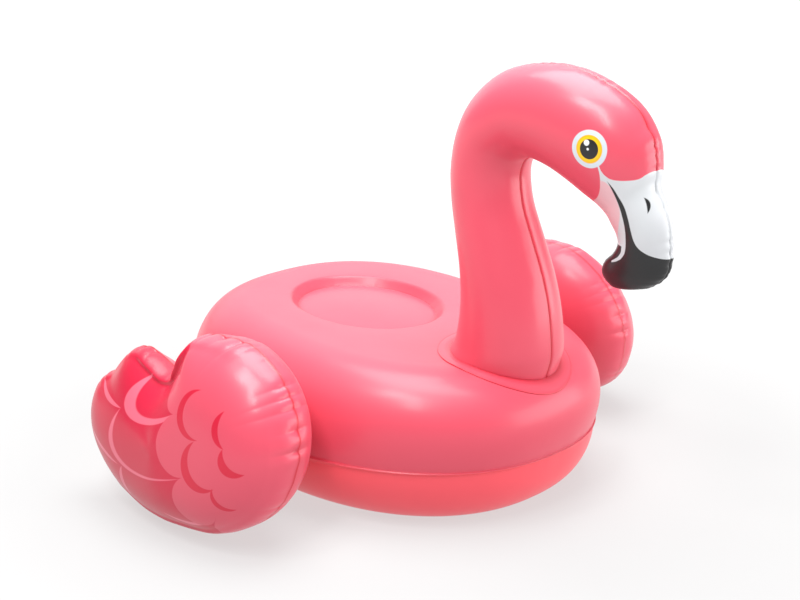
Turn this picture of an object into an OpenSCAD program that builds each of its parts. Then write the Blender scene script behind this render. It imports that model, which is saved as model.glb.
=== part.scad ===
// Inflatable ride-on pool float in the shape of a long-necked bird.
// Millimetres, +Z up, +X towards the beak, +Y to the bird's left.
// Every film panel is a closed thin shell; welded edges meet face to face.

/* [Body cushion] */
// reach of the body seam ahead of the body middle
body_front = 518; // [450:1:600]
// reach of the body seam behind the body middle
body_rear = 468; // [380:1:520]
// half the width of the body at its seam
body_half_width = 400; // [340:1:460]
// squareness of the front of the plan (2 is an ellipse)
front_squareness = 2.2; // [2:0.1:3]
// squareness of the rear of the plan
rear_squareness = 2.3; // [2:0.1:3.5]
// height of the body seam above the floor
seam_height = 139; // [110:1:170]
// rise of the top crest above the seam
top_rise = 210; // [160:1:260]
// inward distance from the seam to the top crest
top_roll = 138; // [100:1:180]
// inward distance from the seam to the flat underside
bottom_roll = 118; // [80:1:160]
// how far the top bulges out past the seam
top_overhang = 12; // [0:1:20]
// extra bulge past the seam at the very front, under the neck
front_overhang = 26; // [0:1:36]
// drop of the top surface per millimetre towards the front
top_fall = 0.05; // [0:0.005:0.07]
// thickness the films are drawn at
film = 0.8; // [0.6:0.1:1.5]
// width of the welded lip that stands out along the body seam
seam_lip = 4; // [2:0.5:8]

/* [Seat recess] */
// distance of the seat centre behind the body middle
seat_back = 59; // [20:1:100]
// half length of the oval seat weld
seat_half_length = 174; // [120:1:220]
// half width of the oval seat weld
seat_half_width = 147; // [100:1:190]
// depth of the seat weld below the crest
seat_depth = 20; // [10:1:40]
// rise of the seat floor inside its weld
seat_dome = 12; // [4:1:24]

/* [Neck base] */
// distance of the neck base centre ahead of the body middle
neck_base_ahead = 370; // [330:1:400]
// half length of the neck base outline
neck_base_half_length = 118; // [90:1:130]
// half width of the neck base outline
neck_base_half_width = 118; // [90:1:130]
// width of the welded ring round the neck base
flange_width = 27; // [15:1:35]
// thickness of the welded ring round the neck base
flange_thickness = 2.4; // [1.5:0.1:4]
// factor on the side-to-side width of neck, head and beak
neck_width_factor = 1; // [0.8:0.05:1.2]

/* [Wings] */
// distance of each wing seam from the middle plane
wing_out = 550; // [520:1:620]
// inward lean of the wing per millimetre of height
wing_lean = 0.178; // [0.1:0.005:0.25]
// closing of the wings towards the head per millimetre
wing_toe_in = 0.105; // [0:0.005:0.2]
// distance of the shoulder disc ahead of the body middle
shoulder_ahead = 75; // [40:1:110]
// height of the shoulder disc centre
shoulder_height = 219; // [190:1:250]
// half length of the shoulder disc
shoulder_half_length = 222; // [180:1:260]
// half height of the shoulder disc
shoulder_half_height = 200; // [160:1:215]
// bulge of the outer wing panel
wing_outer_bulge = 112; // [80:1:140]
// bulge of the inner wing panel before it meets the body
wing_inner_bulge = 175; // [150:1:200]
// share of the bulge lost at the tail end of the wing
wing_tail_taper = 0.45; // [0.2:0.05:0.7]
// half length of the weld ring between wing and body
weld_ring_half_length = 80; // [50:1:95]
// half height of the weld ring between wing and body
weld_ring_half_height = 40; // [30:1:50]
// height of the weld ring's centre above the body seam
weld_ring_above_seam = 53; // [45:1:60]

/* [Inflation valves] */
// outer diameter of the valve base flange
valve_flange_d = 44; // [34:1:60]
// outer diameter of the valve stem
stem_d = 14; // [11:0.5:18]
// bore of the valve stem
stem_bore = 9; // [7:0.5:11]
// length of the valve stem
stem_length = 26; // [20:1:34]
// travel of the stem when it is pulled out for inflating
stem_travel = 14; // [8:1:18]
// clearance between sliding valve pieces, on radius
valve_clearance = 0.4; // [0.3:0.05:0.8]
// diameter of the plug head
plug_head_d = 17; // [14:0.5:22]

/* [Hidden] */
// number of points round the body panels
body_columns = 84;
// vertical position of the crest at the body middle
crest_z = seam_height + top_rise;
// crest height that the heights of the neck stations are counted from
station_datum = 349;
// midline stations of neck, head and beak: back x, back z, front x, front z, half width
neck_stations = [
  [266, 360, 503, 350, 114], [276, 430, 496, 430, 106], [270, 510, 476, 512, 98],
  [254, 590, 442, 592, 92], [240, 665, 414, 660, 87], [238, 735, 404, 718, 86],
  [256, 815, 410, 748, 87], [298, 885, 424, 764, 90], [365, 938, 445, 769, 90],
  [445, 961, 472, 765, 91], [530, 964, 510, 754, 91], [613, 944, 552, 736, 89],
  [686, 907, 590, 716, 82], [732, 853, 620, 700, 69], [745, 795, 640, 684, 57],
  [744, 760, 653, 667, 51], [765, 722, 664, 648, 46], [779, 690, 666, 630, 43],
  [785, 650, 654, 610, 41], [787, 610, 633, 590, 38], [775, 580, 626, 565, 33],
  [745, 556, 646, 543, 23], [710, 546, 672, 540, 12], [694, 543.5, 688, 542.5, 3]];
// tail outline of a wing, from the shoulder top backwards and under: x, z
wing_tail = [
  [30, 414], [2, 398], [-13, 362], [-29, 326], [-55, 318], [-98, 333], [-139, 347],
  [-165, 348], [-190, 338], [-213, 315], [-239, 283], [-260, 272], [-285, 248],
  [-298, 212], [-295, 165], [-273, 120], [-232, 78], [-182, 47], [-130, 29],
  [-76, 17], [-16, 13], [30, 15]];
// middle that the wing outline is drawn round: x, z
wing_middle = [0, 195];
// colours
pink = [0.93, 0.42, 0.50];
deep_pink = [0.86, 0.25, 0.38];
clear_vinyl = [0.90, 0.90, 0.88];
// names of the separate pieces

// ---------- small helpers ----------
function flat(rows) = [for (r = rows) for (p = r) p];
function mix2(a, b, s) = a + (b - a) * s;
// quad between two rows i and i2, columns j and j2, as two triangles
function quad(i, i2, j, j2, n) =
  [[i * n + j, i2 * n + j, i2 * n + j2], [i * n + j, i2 * n + j2, i * n + j2]];

// A closed film shell: rows of n points from the welded edge to the middle,
// an outside set and an inside set, each ending in one middle point.
module film_shell(outside, outside_pole, inside, inside_pole) {
  n = len(outside[0]);
  m = len(outside);
  k = len(inside);
  pts = concat(flat(outside), flat(inside), [outside_pole, inside_pole]);
  outer_faces = [for (i = [0:m - 2]) for (j = [0:n - 1])
    each quad(i, i + 1, (j + 1) % n, j, n)];
  inner_faces = [for (i = [m:m + k - 2]) for (j = [0:n - 1])
    each quad(i, i + 1, j, (j + 1) % n, n)];
  rim_faces = [for (j = [0:n - 1]) each quad(0, m, j, (j + 1) % n, n)];
  po = (m + k) * n;
  cap_faces = [for (j = [0:n - 1]) each [
    [(m - 1) * n + (j + 1) % n, po, (m - 1) * n + j],
    [(m + k - 1) * n + j, po + 1, (m + k - 1) * n + (j + 1) % n]]];
  polyhedron(pts, concat(outer_faces, inner_faces, rim_faces, cap_faces));
}

// A closed ring: rows of n points, the last row joins back to the first.
module ring_solid(rows) {
  n = len(rows[0]);
  m = len(rows);
  polyhedron(flat(rows), [for (i = [0:m - 1]) for (j = [0:n - 1])
    each quad(i, (i + 1) % m, (j + 1) % n, j, n)]);
}

// A closed half tube: each row runs along the outside and back along the inside.
module half_tube(rows) {
  n = len(rows[0]);
  m = len(rows);
  h = n / 2;
  side = [for (i = [0:m - 2]) for (j = [0:n - 1])
    each quad(i, i + 1, (j + 1) % n, j, n)];
  first = [for (j = [0:h - 2]) each [
    [j + 1, j, n - 1 - j], [j + 1, n - 1 - j, n - 2 - j]]];
  o = (m - 1) * n;
  last = [for (j = [0:h - 2]) each [
    [o + j, o + j + 1, o + n - 2 - j], [o + j, o + n - 2 - j, o + n - 1 - j]]];
  polyhedron(flat(rows), concat(side, first, last));
}

// moves a piece from body-middle x to the middle of the whole float
module centred() {
  translate([-centre_x, 0, 0]) children();
}

// ---------- body shape ----------
// radius of the seam in plan, at angle t
function plan_r(t) =
  let (a = cos(t) > 0 ? body_front : body_rear)
  let (n = cos(t) > 0 ? front_squareness : rear_squareness)
  pow(pow(abs(cos(t)) / a, n) + pow(abs(sin(t)) / body_half_width, n), -1 / n);
// bulge of the top past the seam, at plan angle t
function overhang(t) = top_overhang + front_overhang * pow(max(0, cos(t)), 3);
// inward distance from the seam at roll angle f, for an overhang o
function roll_in(f, o) = top_roll * (1 - cos(f)) - o * sin(2 * f);
// height of the top surface over a plan point when it lies inside the crest
function shelf_z(x) = crest_z - top_fall * x;
// point of the top at plan angle t and roll angle f, moved inwards by w
function top_point(t, f, w) =
  let (r = plan_r(t) - roll_in(f, overhang(t)) - w * cos(f))
  let (rc = (plan_r(t) - top_roll) * cos(t))
  [r * cos(t), r * sin(t), seam_height + (top_rise - top_fall * rc) * sin(f) - w * sin(f)];
// roll angle at which the top lies a distance d inside the seam
function roll_at(d, o, lo, hi, steps) =
  steps == 0 ? (lo + hi) / 2 :
  let (f = (lo + hi) / 2)
  roll_in(f, o) < d ? roll_at(d, o, f, hi, steps - 1) : roll_at(d, o, lo, f, steps - 1);
// height of the top surface at a plan point
function top_z(x, y) =
  let (t = atan2(y, x))
  let (d = plan_r(t) - norm([x, y]))
  let (rc = (plan_r(t) - top_roll) * cos(t))
  d >= top_roll ? shelf_z(x) :
  seam_height + (top_rise - top_fall * rc) * sin(roll_at(d, overhang(t), 20, 90, 22));
// sideways reach of the body at x and height z
function side_y(x, z) =
  let (n = x > 0 ? front_squareness : rear_squareness)
  let (a = x > 0 ? body_front : body_rear)
  let (edge = body_half_width * pow(max(0, 1 - pow(abs(x) / a, n)), 1 / n))
  z > shelf_z(x) ? 0 :
  z > seam_height ?
    edge - roll_in(asin(min(1, (z - seam_height) / (top_rise - top_fall * x))), top_overhang) :
    edge - bottom_roll * (1 - cos(asin(min(1, (seam_height - z) / seam_height))));

columns = [for (j = [0:body_columns - 1]) j * 360 / body_columns];
function seat_point(t) =
  [-seat_back + seat_half_length * cos(t), seat_half_width * sin(t)];
function crest_point(t) = (plan_r(t) - top_roll) * [cos(t), sin(t)];
// row between the crest (v = 0) and the seat weld (v = 1)
function shelf_row(v, w) = [for (t = columns)
  let (p = mix2(crest_point(t), seat_point(t), v))
  [p[0], p[1], shelf_z(p[0]) - seat_depth * pow(v, 6) - w]];
// row inside the seat weld, q = 1 at the weld
function floor_row(q, w) = [for (t = columns)
  let (p = [-seat_back, 0] + q * (seat_point(t) - [-seat_back, 0]))
  [p[0], p[1], shelf_z(p[0]) - seat_depth + seat_dome * (1 - q * q) - w]];
function top_rows(w) = concat(
  [for (f = [0, 8, 16, 25, 35, 46, 58, 70, 80, 90]) [for (t = columns) top_point(t, f, w)]],
  [for (v = [0.3, 0.55, 0.75, 0.87, 0.95, 1]) shelf_row(v, w)],
  [for (q = [0.8, 0.45]) floor_row(q, w)]);
function seat_middle(w) = [-seat_back, 0, shelf_z(-seat_back) - seat_depth + seat_dome - w];
function lip_row(z) = [for (t = columns)
  [(plan_r(t) + seam_lip) * cos(t), (plan_r(t) + seam_lip) * sin(t), z]];
function edge_row(z) = [for (t = columns) [plan_r(t) * cos(t), plan_r(t) * sin(t), z]];

module body_top_panel() {
  outside = top_rows(0);
  lip = [lip_row(seam_height), lip_row(seam_height + film), edge_row(seam_height + film)];
  color(pink) centred() difference() {
    film_shell(concat(lip, [for (i = [1:len(outside) - 1]) outside[i]]), seat_middle(0),
      top_rows(film), seat_middle(film));
    at_body_valve() valve_hole();
  }
}

function bottom_point(t, f, w) =
  let (r = plan_r(t) - bottom_roll * (1 - cos(f)) - w * cos(f))
  [r * cos(t), r * sin(t), seam_height - (seam_height - w) * sin(f)];
function bottom_rows(w) = concat(
  [for (f = [0, 15, 30, 45, 60, 75, 90]) [for (t = columns) bottom_point(t, f, w)]],
  [[for (t = columns) concat(0.5 * crest_point(t), w)]]);

module body_bottom_panel() {
  outside = bottom_rows(0);
  lip = [lip_row(seam_height), lip_row(seam_height - film), edge_row(seam_height - film)];
  color(pink) centred() mirror([0, 1, 0])
    film_shell(concat(lip, [for (i = [1:len(outside) - 1]) outside[i]]), [0, 0, 0],
      bottom_rows(film), [0, 0, film]);
}

// wall that ties the seat weld to the underside, hidden inside the cushion
module seat_baffle() {
  wall = 1.2;
  low = film + 0.4;
  gap = film + 0.4;
  function wall_row(e, z0) = [for (t = columns)
    let (s = e / seat_half_width)
    let (p = [-seat_back, 0] + (1 - s) * (seat_point(t) - [-seat_back, 0]))
    [p[0], p[1], z0 > 0 ? z0 : shelf_z(p[0]) - seat_depth - gap]];
  color(pink) centred()
  ring_solid([wall_row(0, low), wall_row(0, 0), wall_row(wall, 0), wall_row(wall, low)]);
}

// ---------- neck, head and beak ----------
// smooth curve through the stations: value at station i, part s of the way on
function smooth(a, b, c, d, s) = 0.5 * ((2 * b) + (c - a) * s
  + (2 * a - 5 * b + 4 * c - d) * s * s + (3 * b - a - 3 * c + d) * s * s * s);
neck_lift = crest_z - station_datum;
function station(i) = neck_stations[max(0, min(len(neck_stations) - 1, i))]
  + [0, neck_lift, 0, neck_lift, 0];
stations = concat([for (i = [0:len(neck_stations) - 2]) for (s = [0, 0.5])
  smooth(station(i - 1), station(i), station(i + 1), station(i + 2), s)],
  [station(len(neck_stations) - 1)]);
// frontmost and rearmost reach of the whole float
front_reach = max([for (s = stations) s[0]]);
rear_reach = -(body_rear + seam_lip);
// the float is centred over the origin
centre_x = (front_reach + rear_reach) / 2;
neck_angles = [for (j = [0:10]) j * 18];
// half ring of a station on the left side; w is the inset of the inside face
function half_ring(s, w) =
  let (mid = [(s[0] + s[2]) / 2, 0, (s[1] + s[3]) / 2])
  let (arm = [(s[2] - s[0]) / 2, 0, (s[3] - s[1]) / 2])
  let (cut = min(w, 0.95 * norm(arm)))
  let (b = s[4] * neck_width_factor)
  [for (a = neck_angles) mid - arm * cos(a) * (1 - cut / norm(arm))
    + [0, (b - min(w, 0.95 * b)) * sin(a), 0]];
// lowest half ring, laid on the body top
function base_ring(w) = [for (a = neck_angles)
  let (x = neck_base_ahead - (neck_base_half_length - w) * cos(a))
  let (y = (neck_base_half_width * neck_width_factor - w) * sin(a))
  [x, y, top_z(x, y) + 2]];
function reversed(v) = [for (i = [len(v) - 1:-1:0]) v[i]];
neck_rows = concat([concat(base_ring(0), reversed(base_ring(film)))],
  [for (i = [0:len(stations) - 1])
    let (w = i == len(stations) - 1 ? 2.8 : film)
    concat(half_ring(stations[i], 0), reversed(half_ring(stations[i], w)))]);

module neck_left_panel() {
  color(pink) centred() difference() {
    half_tube(neck_rows);
    at_neck_valve() valve_hole();
  }
}
module neck_right_panel() {
  color(pink) centred() mirror([0, 1, 0]) half_tube(neck_rows);
}

flange_angles = [for (j = [0:59]) j * 6];
function flange_row(e, lift) = [for (a = flange_angles)
  let (x = neck_base_ahead + (neck_base_half_length + e) * cos(a))
  let (y = (neck_base_half_width * neck_width_factor + e) * sin(a))
  [x, y, top_z(x, y) + lift]];
module neck_base_flange() {
  color(pink) centred()
  ring_solid([flange_row(1.2, 0.5), flange_row(flange_width / 2, 0.5),
    flange_row(flange_width, 0.5), flange_row(flange_width, 0.5 + flange_thickness / 2),
    flange_row(flange_width / 2, 0.5 + flange_thickness),
    flange_row(1.2, 0.5 + flange_thickness)]);
}

// ---------- wings ----------
function shoulder(a) = [shoulder_ahead + shoulder_half_length * cos(a),
  shoulder_height + shoulder_half_height * sin(a)];
wing_outline = concat([for (a = [-78:13:78]) shoulder(a)], [for (p = wing_tail) p]);
function seam_y(x, z) = wing_out - wing_toe_in * (x - shoulder_ahead)
  - wing_lean * (z - shoulder_height);
// ring of a wing panel at roll angle f; p sets how full the panel is
function wing_row(f, bulge, p, w) = [for (q = wing_outline)
  let (d = q - wing_middle)
  let (k = pow(cos(f), 2 / p) + 6 * sin(2 * f) / norm(d) - w * cos(f) / norm(d))
  let (taper = 1 - wing_tail_taper * max(0, -d[0] / norm(d)) * k)
  let (x = wing_middle[0] + k * d[0])
  let (z = wing_middle[1] + k * d[1])
  [x, seam_y(x, z) + (bulge * taper - sign(bulge) * w) * sin(f), z]];
// distance held between the body side and the wing where they are welded
weld_gap = 4.4;
function pressed(row, w) = [for (p = row)
  [p[0], max(p[1], side_y(p[0], p[2]) + weld_gap + w), p[2]]];
wing_rolls = [0, 10, 22, 35, 50, 65, 78];
module wing_outer_panel() {
  film_shell(
    [for (f = wing_rolls) wing_row(f, wing_outer_bulge, 3.4, 0)],
    [wing_middle[0], seam_y(wing_middle[0], wing_middle[1]) + wing_outer_bulge, wing_middle[1]],
    [for (f = wing_rolls) wing_row(f, wing_outer_bulge, 3.4, film)],
    [wing_middle[0], seam_y(wing_middle[0], wing_middle[1]) + wing_outer_bulge - film,
      wing_middle[1]]);
}
module wing_inner_panel() {
  rolls = [0, 12, 25, 38, 50, 60, 70, 80];
  y0 = side_y(wing_middle[0], wing_middle[1]) + weld_gap;
  film_shell(
    [for (f = rolls) pressed(wing_row(f, -wing_inner_bulge, 1.1, film), film)],
    [wing_middle[0], y0 + film, wing_middle[1]],
    [for (f = rolls) pressed(wing_row(f, -wing_inner_bulge, 1.1, 0), 0)],
    [wing_middle[0], y0, wing_middle[1]]);
}
function weld_row(e, lift) = [for (a = [0:10:350])
  let (x = wing_middle[0] + (weld_ring_half_length - e) * cos(a))
  let (z = seam_height + weld_ring_above_seam + (weld_ring_half_height - e) * sin(a))
  [x, side_y(x, z) + lift, z]];
module weld_ring() {
  ring_solid([weld_row(0, 0.8), weld_row(22, 0.8), weld_row(22, 3), weld_row(0, 3)]);
}
module left_wing_outer_panel() {
  color(deep_pink) centred() wing_outer_panel();
}
module left_wing_inner_panel() {
  color(pink) centred() wing_inner_panel();
}
module left_wing_weld_ring() {
  color(pink) centred() weld_ring();
}
module right_wing_outer_panel() {
  color(deep_pink) centred() mirror([0, 1, 0]) wing_outer_panel();
}
module right_wing_inner_panel() {
  color(pink) centred() mirror([0, 1, 0]) wing_inner_panel();
}
module right_wing_weld_ring() {
  color(pink) centred() mirror([0, 1, 0]) weld_ring();
}

// ---------- inflation valves ----------
// Drawn with the film at z = 0 and outwards as +Z, pushed in and plugged.
rim_low = 2.2;
rim_top = 3.7;
rim_d = stem_d + 3;
sleeve_low = -6;
stem_low = rim_top - stem_length;
head_low = rim_top + 0.3;
head_top = head_low + 2.2;
hinge_x = -(stem_d / 2 + 0.6);
hinge_z = stem_low - 0.8;

// roll angle of the body valve on the rear of the top panel
valve_roll = 34;
module at_body_valve() {
  up = atan2(top_roll * sin(valve_roll) - 2 * top_overhang * cos(2 * valve_roll),
    top_rise * cos(valve_roll));
  translate(top_point(180, valve_roll, 0)) rotate([0, up - 90, 0]) children();
}
module at_neck_valve() {
  s = station(1);
  translate([(s[0] + s[2]) / 2, s[4] * neck_width_factor, s[1]]) rotate([-84, 0, 0])
    children();
}
module valve_hole() {
  cylinder(h = 30, d = stem_d + 4.4, center = true, $fn = 48);
}
module valve_base() {
  bore = stem_d / 2 + valve_clearance;
  $fn = 64;
  rotate_extrude() polygon([[bore, sleeve_low], [bore + 1.2, sleeve_low],
    [bore + 1.2, 0.6], [valve_flange_d / 2, 0.2], [valve_flange_d / 2, 1], [bore, 1.7]]);
}
module valve_stem() {
  $fn = 64;
  difference() {
    union() {
      translate([0, 0, stem_low]) cylinder(h = stem_length, d = stem_d);
      translate([0, 0, rim_low]) cylinder(h = rim_top - rim_low, d = rim_d);
      translate([0, 0, stem_low]) cylinder(h = 1.5, d = stem_d + 2.4);
      for (y = [-3.5, 3.5])
        translate([hinge_x - 1, y - 0.5, hinge_z - 1]) cube([2, 1, 3]);
    }
    translate([0, 0, stem_low - 1]) cylinder(h = stem_length + 2, d = stem_bore);
  }
}
module valve_flap() {
  $fn = 64;
  translate([0, 0, hinge_z - 0.4]) cylinder(h = 0.8, d = stem_bore + 3);
  translate([hinge_x, -1.5, hinge_z - 0.4]) cube([4, 3, 0.8]);
  translate([hinge_x, 2.6, hinge_z]) rotate([90, 0, 0]) cylinder(h = 5.2, d = 1.2);
}
module valve_plug() {
  $fn = 64;
  translate([0, 0, head_low]) cylinder(h = head_top - head_low, d = plug_head_d);
  translate([0, 0, head_low - 9]) cylinder(h = 9, d = stem_bore - 2 * valve_clearance);
  translate([0, 0, head_low - 11])
    cylinder(h = 2, d1 = stem_bore - 3, d2 = stem_bore - 2 * valve_clearance);
}
module valve_strap() {
  inner = (head_low + 0.4 - (rim_low + 0.8)) / 2;
  low_start = rim_d / 2 + 0.3;
  high_start = plug_head_d / 2 + 0.3;
  turn_x = max(low_start, high_start) + 9;
  translate([0, -2, 0]) {
    translate([low_start, 0, rim_low]) cube([turn_x - low_start, 4, 0.8]);
    translate([high_start, 0, head_low + 0.4]) cube([turn_x - high_start, 4, 0.8]);
  }
  translate([turn_x, -2, rim_low + 0.8 + inner]) rotate([-90, 0, 0])
    rotate([0, 0, -90]) rotate_extrude(angle = 180, $fn = 48)
      translate([inner, 0]) square([0.8, 4]);
}
module body_valve_base() {
  color(clear_vinyl) centred() at_body_valve() valve_base();
}
module body_valve_stem() {
  color(clear_vinyl) centred() at_body_valve() valve_stem();
}
module body_valve_flap() {
  color(clear_vinyl) centred() at_body_valve() valve_flap();
}
module body_valve_plug() {
  color(clear_vinyl) centred() at_body_valve() valve_plug();
}
module body_valve_strap() {
  color(clear_vinyl) centred() at_body_valve() valve_strap();
}
module neck_valve_base() {
  color(clear_vinyl) centred() at_neck_valve() valve_base();
}
module neck_valve_stem() {
  color(clear_vinyl) centred() at_neck_valve() valve_stem();
}
module neck_valve_flap() {
  color(clear_vinyl) centred() at_neck_valve() valve_flap();
}
module neck_valve_plug() {
  color(clear_vinyl) centred() at_neck_valve() valve_plug();
}
module neck_valve_strap() {
  color(clear_vinyl) centred() at_neck_valve() valve_strap();
}

body_top_panel();
body_bottom_panel();
seat_baffle();
neck_left_panel();
neck_right_panel();
neck_base_flange();
left_wing_outer_panel();
left_wing_inner_panel();
left_wing_weld_ring();
right_wing_outer_panel();
right_wing_inner_panel();
right_wing_weld_ring();
body_valve_base();
body_valve_stem();
body_valve_flap();
body_valve_plug();
body_valve_strap();
neck_valve_base();
neck_valve_stem();
neck_valve_flap();
neck_valve_plug();
neck_valve_strap();
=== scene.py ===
"""Looks of an inflatable ride-on float shaped as a long-necked bird.

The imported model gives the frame. Every film panel is made here as a thin
closed shell that follows the same shape rules as the CAD panel, with the
seams, weld creases and puckers of the real film added. The prints (eyes,
beak, feathers) are drawn by the film materials from Object coordinates.
"""

import logging
import math
from dataclasses import dataclass, field
from enum import Enum
from typing import Dict, List, Optional, Sequence, Tuple, Union

import bpy
import numpy as np
from mathutils import Matrix, Vector


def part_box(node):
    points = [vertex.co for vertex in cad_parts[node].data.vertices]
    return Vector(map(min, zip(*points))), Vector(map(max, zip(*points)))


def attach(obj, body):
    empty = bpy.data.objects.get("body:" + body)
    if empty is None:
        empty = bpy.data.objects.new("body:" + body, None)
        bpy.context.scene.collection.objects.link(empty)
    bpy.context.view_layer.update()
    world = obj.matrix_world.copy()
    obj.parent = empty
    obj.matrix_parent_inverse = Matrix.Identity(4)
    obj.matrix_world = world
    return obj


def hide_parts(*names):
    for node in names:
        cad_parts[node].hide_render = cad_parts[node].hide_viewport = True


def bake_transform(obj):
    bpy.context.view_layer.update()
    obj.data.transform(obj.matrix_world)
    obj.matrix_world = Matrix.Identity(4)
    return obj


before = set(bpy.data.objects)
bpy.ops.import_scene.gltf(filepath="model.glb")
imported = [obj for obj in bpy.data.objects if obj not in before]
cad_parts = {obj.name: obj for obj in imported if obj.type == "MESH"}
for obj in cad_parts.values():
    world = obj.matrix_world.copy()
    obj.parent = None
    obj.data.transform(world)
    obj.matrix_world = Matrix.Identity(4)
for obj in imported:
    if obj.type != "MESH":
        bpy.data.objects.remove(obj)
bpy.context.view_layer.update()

logging.basicConfig(level=logging.INFO, format="%(levelname)s %(message)s")
LOG = logging.getLogger("float")

MM = 0.001
Number = Union[int, float]
Point = Tuple[float, float]


class Side(Enum):
    """Side of the bird that a mirrored piece belongs to."""

    LEFT = 1
    RIGHT = -1


class Slot(Enum):
    """Material slots named in the record."""

    PINK = "pink_film"
    NECK = "printed_neck_film"
    WING = "printed_wing_film"
    CLEAR = "clear_vinyl"


# ---------------------------------------------------------------- shader maths


class Socket:
    """A shader output that can be used in plain arithmetic."""

    def __init__(self, sheet: "NodeSheet", socket: bpy.types.NodeSocket) -> None:
        """Wraps one output socket.

        Args:
            sheet: The node sheet that the socket belongs to.
            socket: The output socket.
        """
        self.sheet = sheet
        self.socket = socket

    def _math(self, operation: str, *others: "Value") -> "Socket":
        """Adds one Math node.

        Args:
            operation: The Math node's operation.
            others: The values after the first.

        Returns:
            The result.
        """
        return self.sheet.add("ShaderNodeMath", {"operation": operation}, [self, *others])

    def __add__(self, other: "Value") -> "Socket":
        """Sum."""
        return self._math("ADD", other)

    def __radd__(self, other: "Value") -> "Socket":
        """Sum, reflected."""
        return self._math("ADD", other)

    def __sub__(self, other: "Value") -> "Socket":
        """Difference."""
        return self._math("SUBTRACT", other)

    def __rsub__(self, other: "Value") -> "Socket":
        """Difference, reflected."""
        return self.sheet.add("ShaderNodeMath", {"operation": "SUBTRACT"}, [other, self])

    def __mul__(self, other: "Value") -> "Socket":
        """Product."""
        return self._math("MULTIPLY", other)

    def __rmul__(self, other: "Value") -> "Socket":
        """Product, reflected."""
        return self._math("MULTIPLY", other)

    def __truediv__(self, other: "Value") -> "Socket":
        """Quotient."""
        return self._math("DIVIDE", other)

    def larger(self, other: "Value") -> "Socket":
        """The larger of two values."""
        return self._math("MAXIMUM", other)

    def smaller(self, other: "Value") -> "Socket":
        """The smaller of two values."""
        return self._math("MINIMUM", other)

    def size(self) -> "Socket":
        """The value without its sign."""
        return self._math("ABSOLUTE")

    def above(self, edge: "Value", soft: float) -> "Socket":
        """A mask that is 1 where the value is above an edge.

        Args:
            edge: The edge.
            soft: Half width of the soft step.

        Returns:
            The mask, from 0 to 1.
        """
        ramp = (self - edge) * (0.5 / soft) + 0.5
        return ramp.larger(0.0).smaller(1.0)

    def below(self, edge: "Value", soft: float) -> "Socket":
        """A mask that is 1 where the value is below an edge."""
        return 1.0 - self.above(edge, soft)


Value = Union[Socket, float, int]


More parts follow.
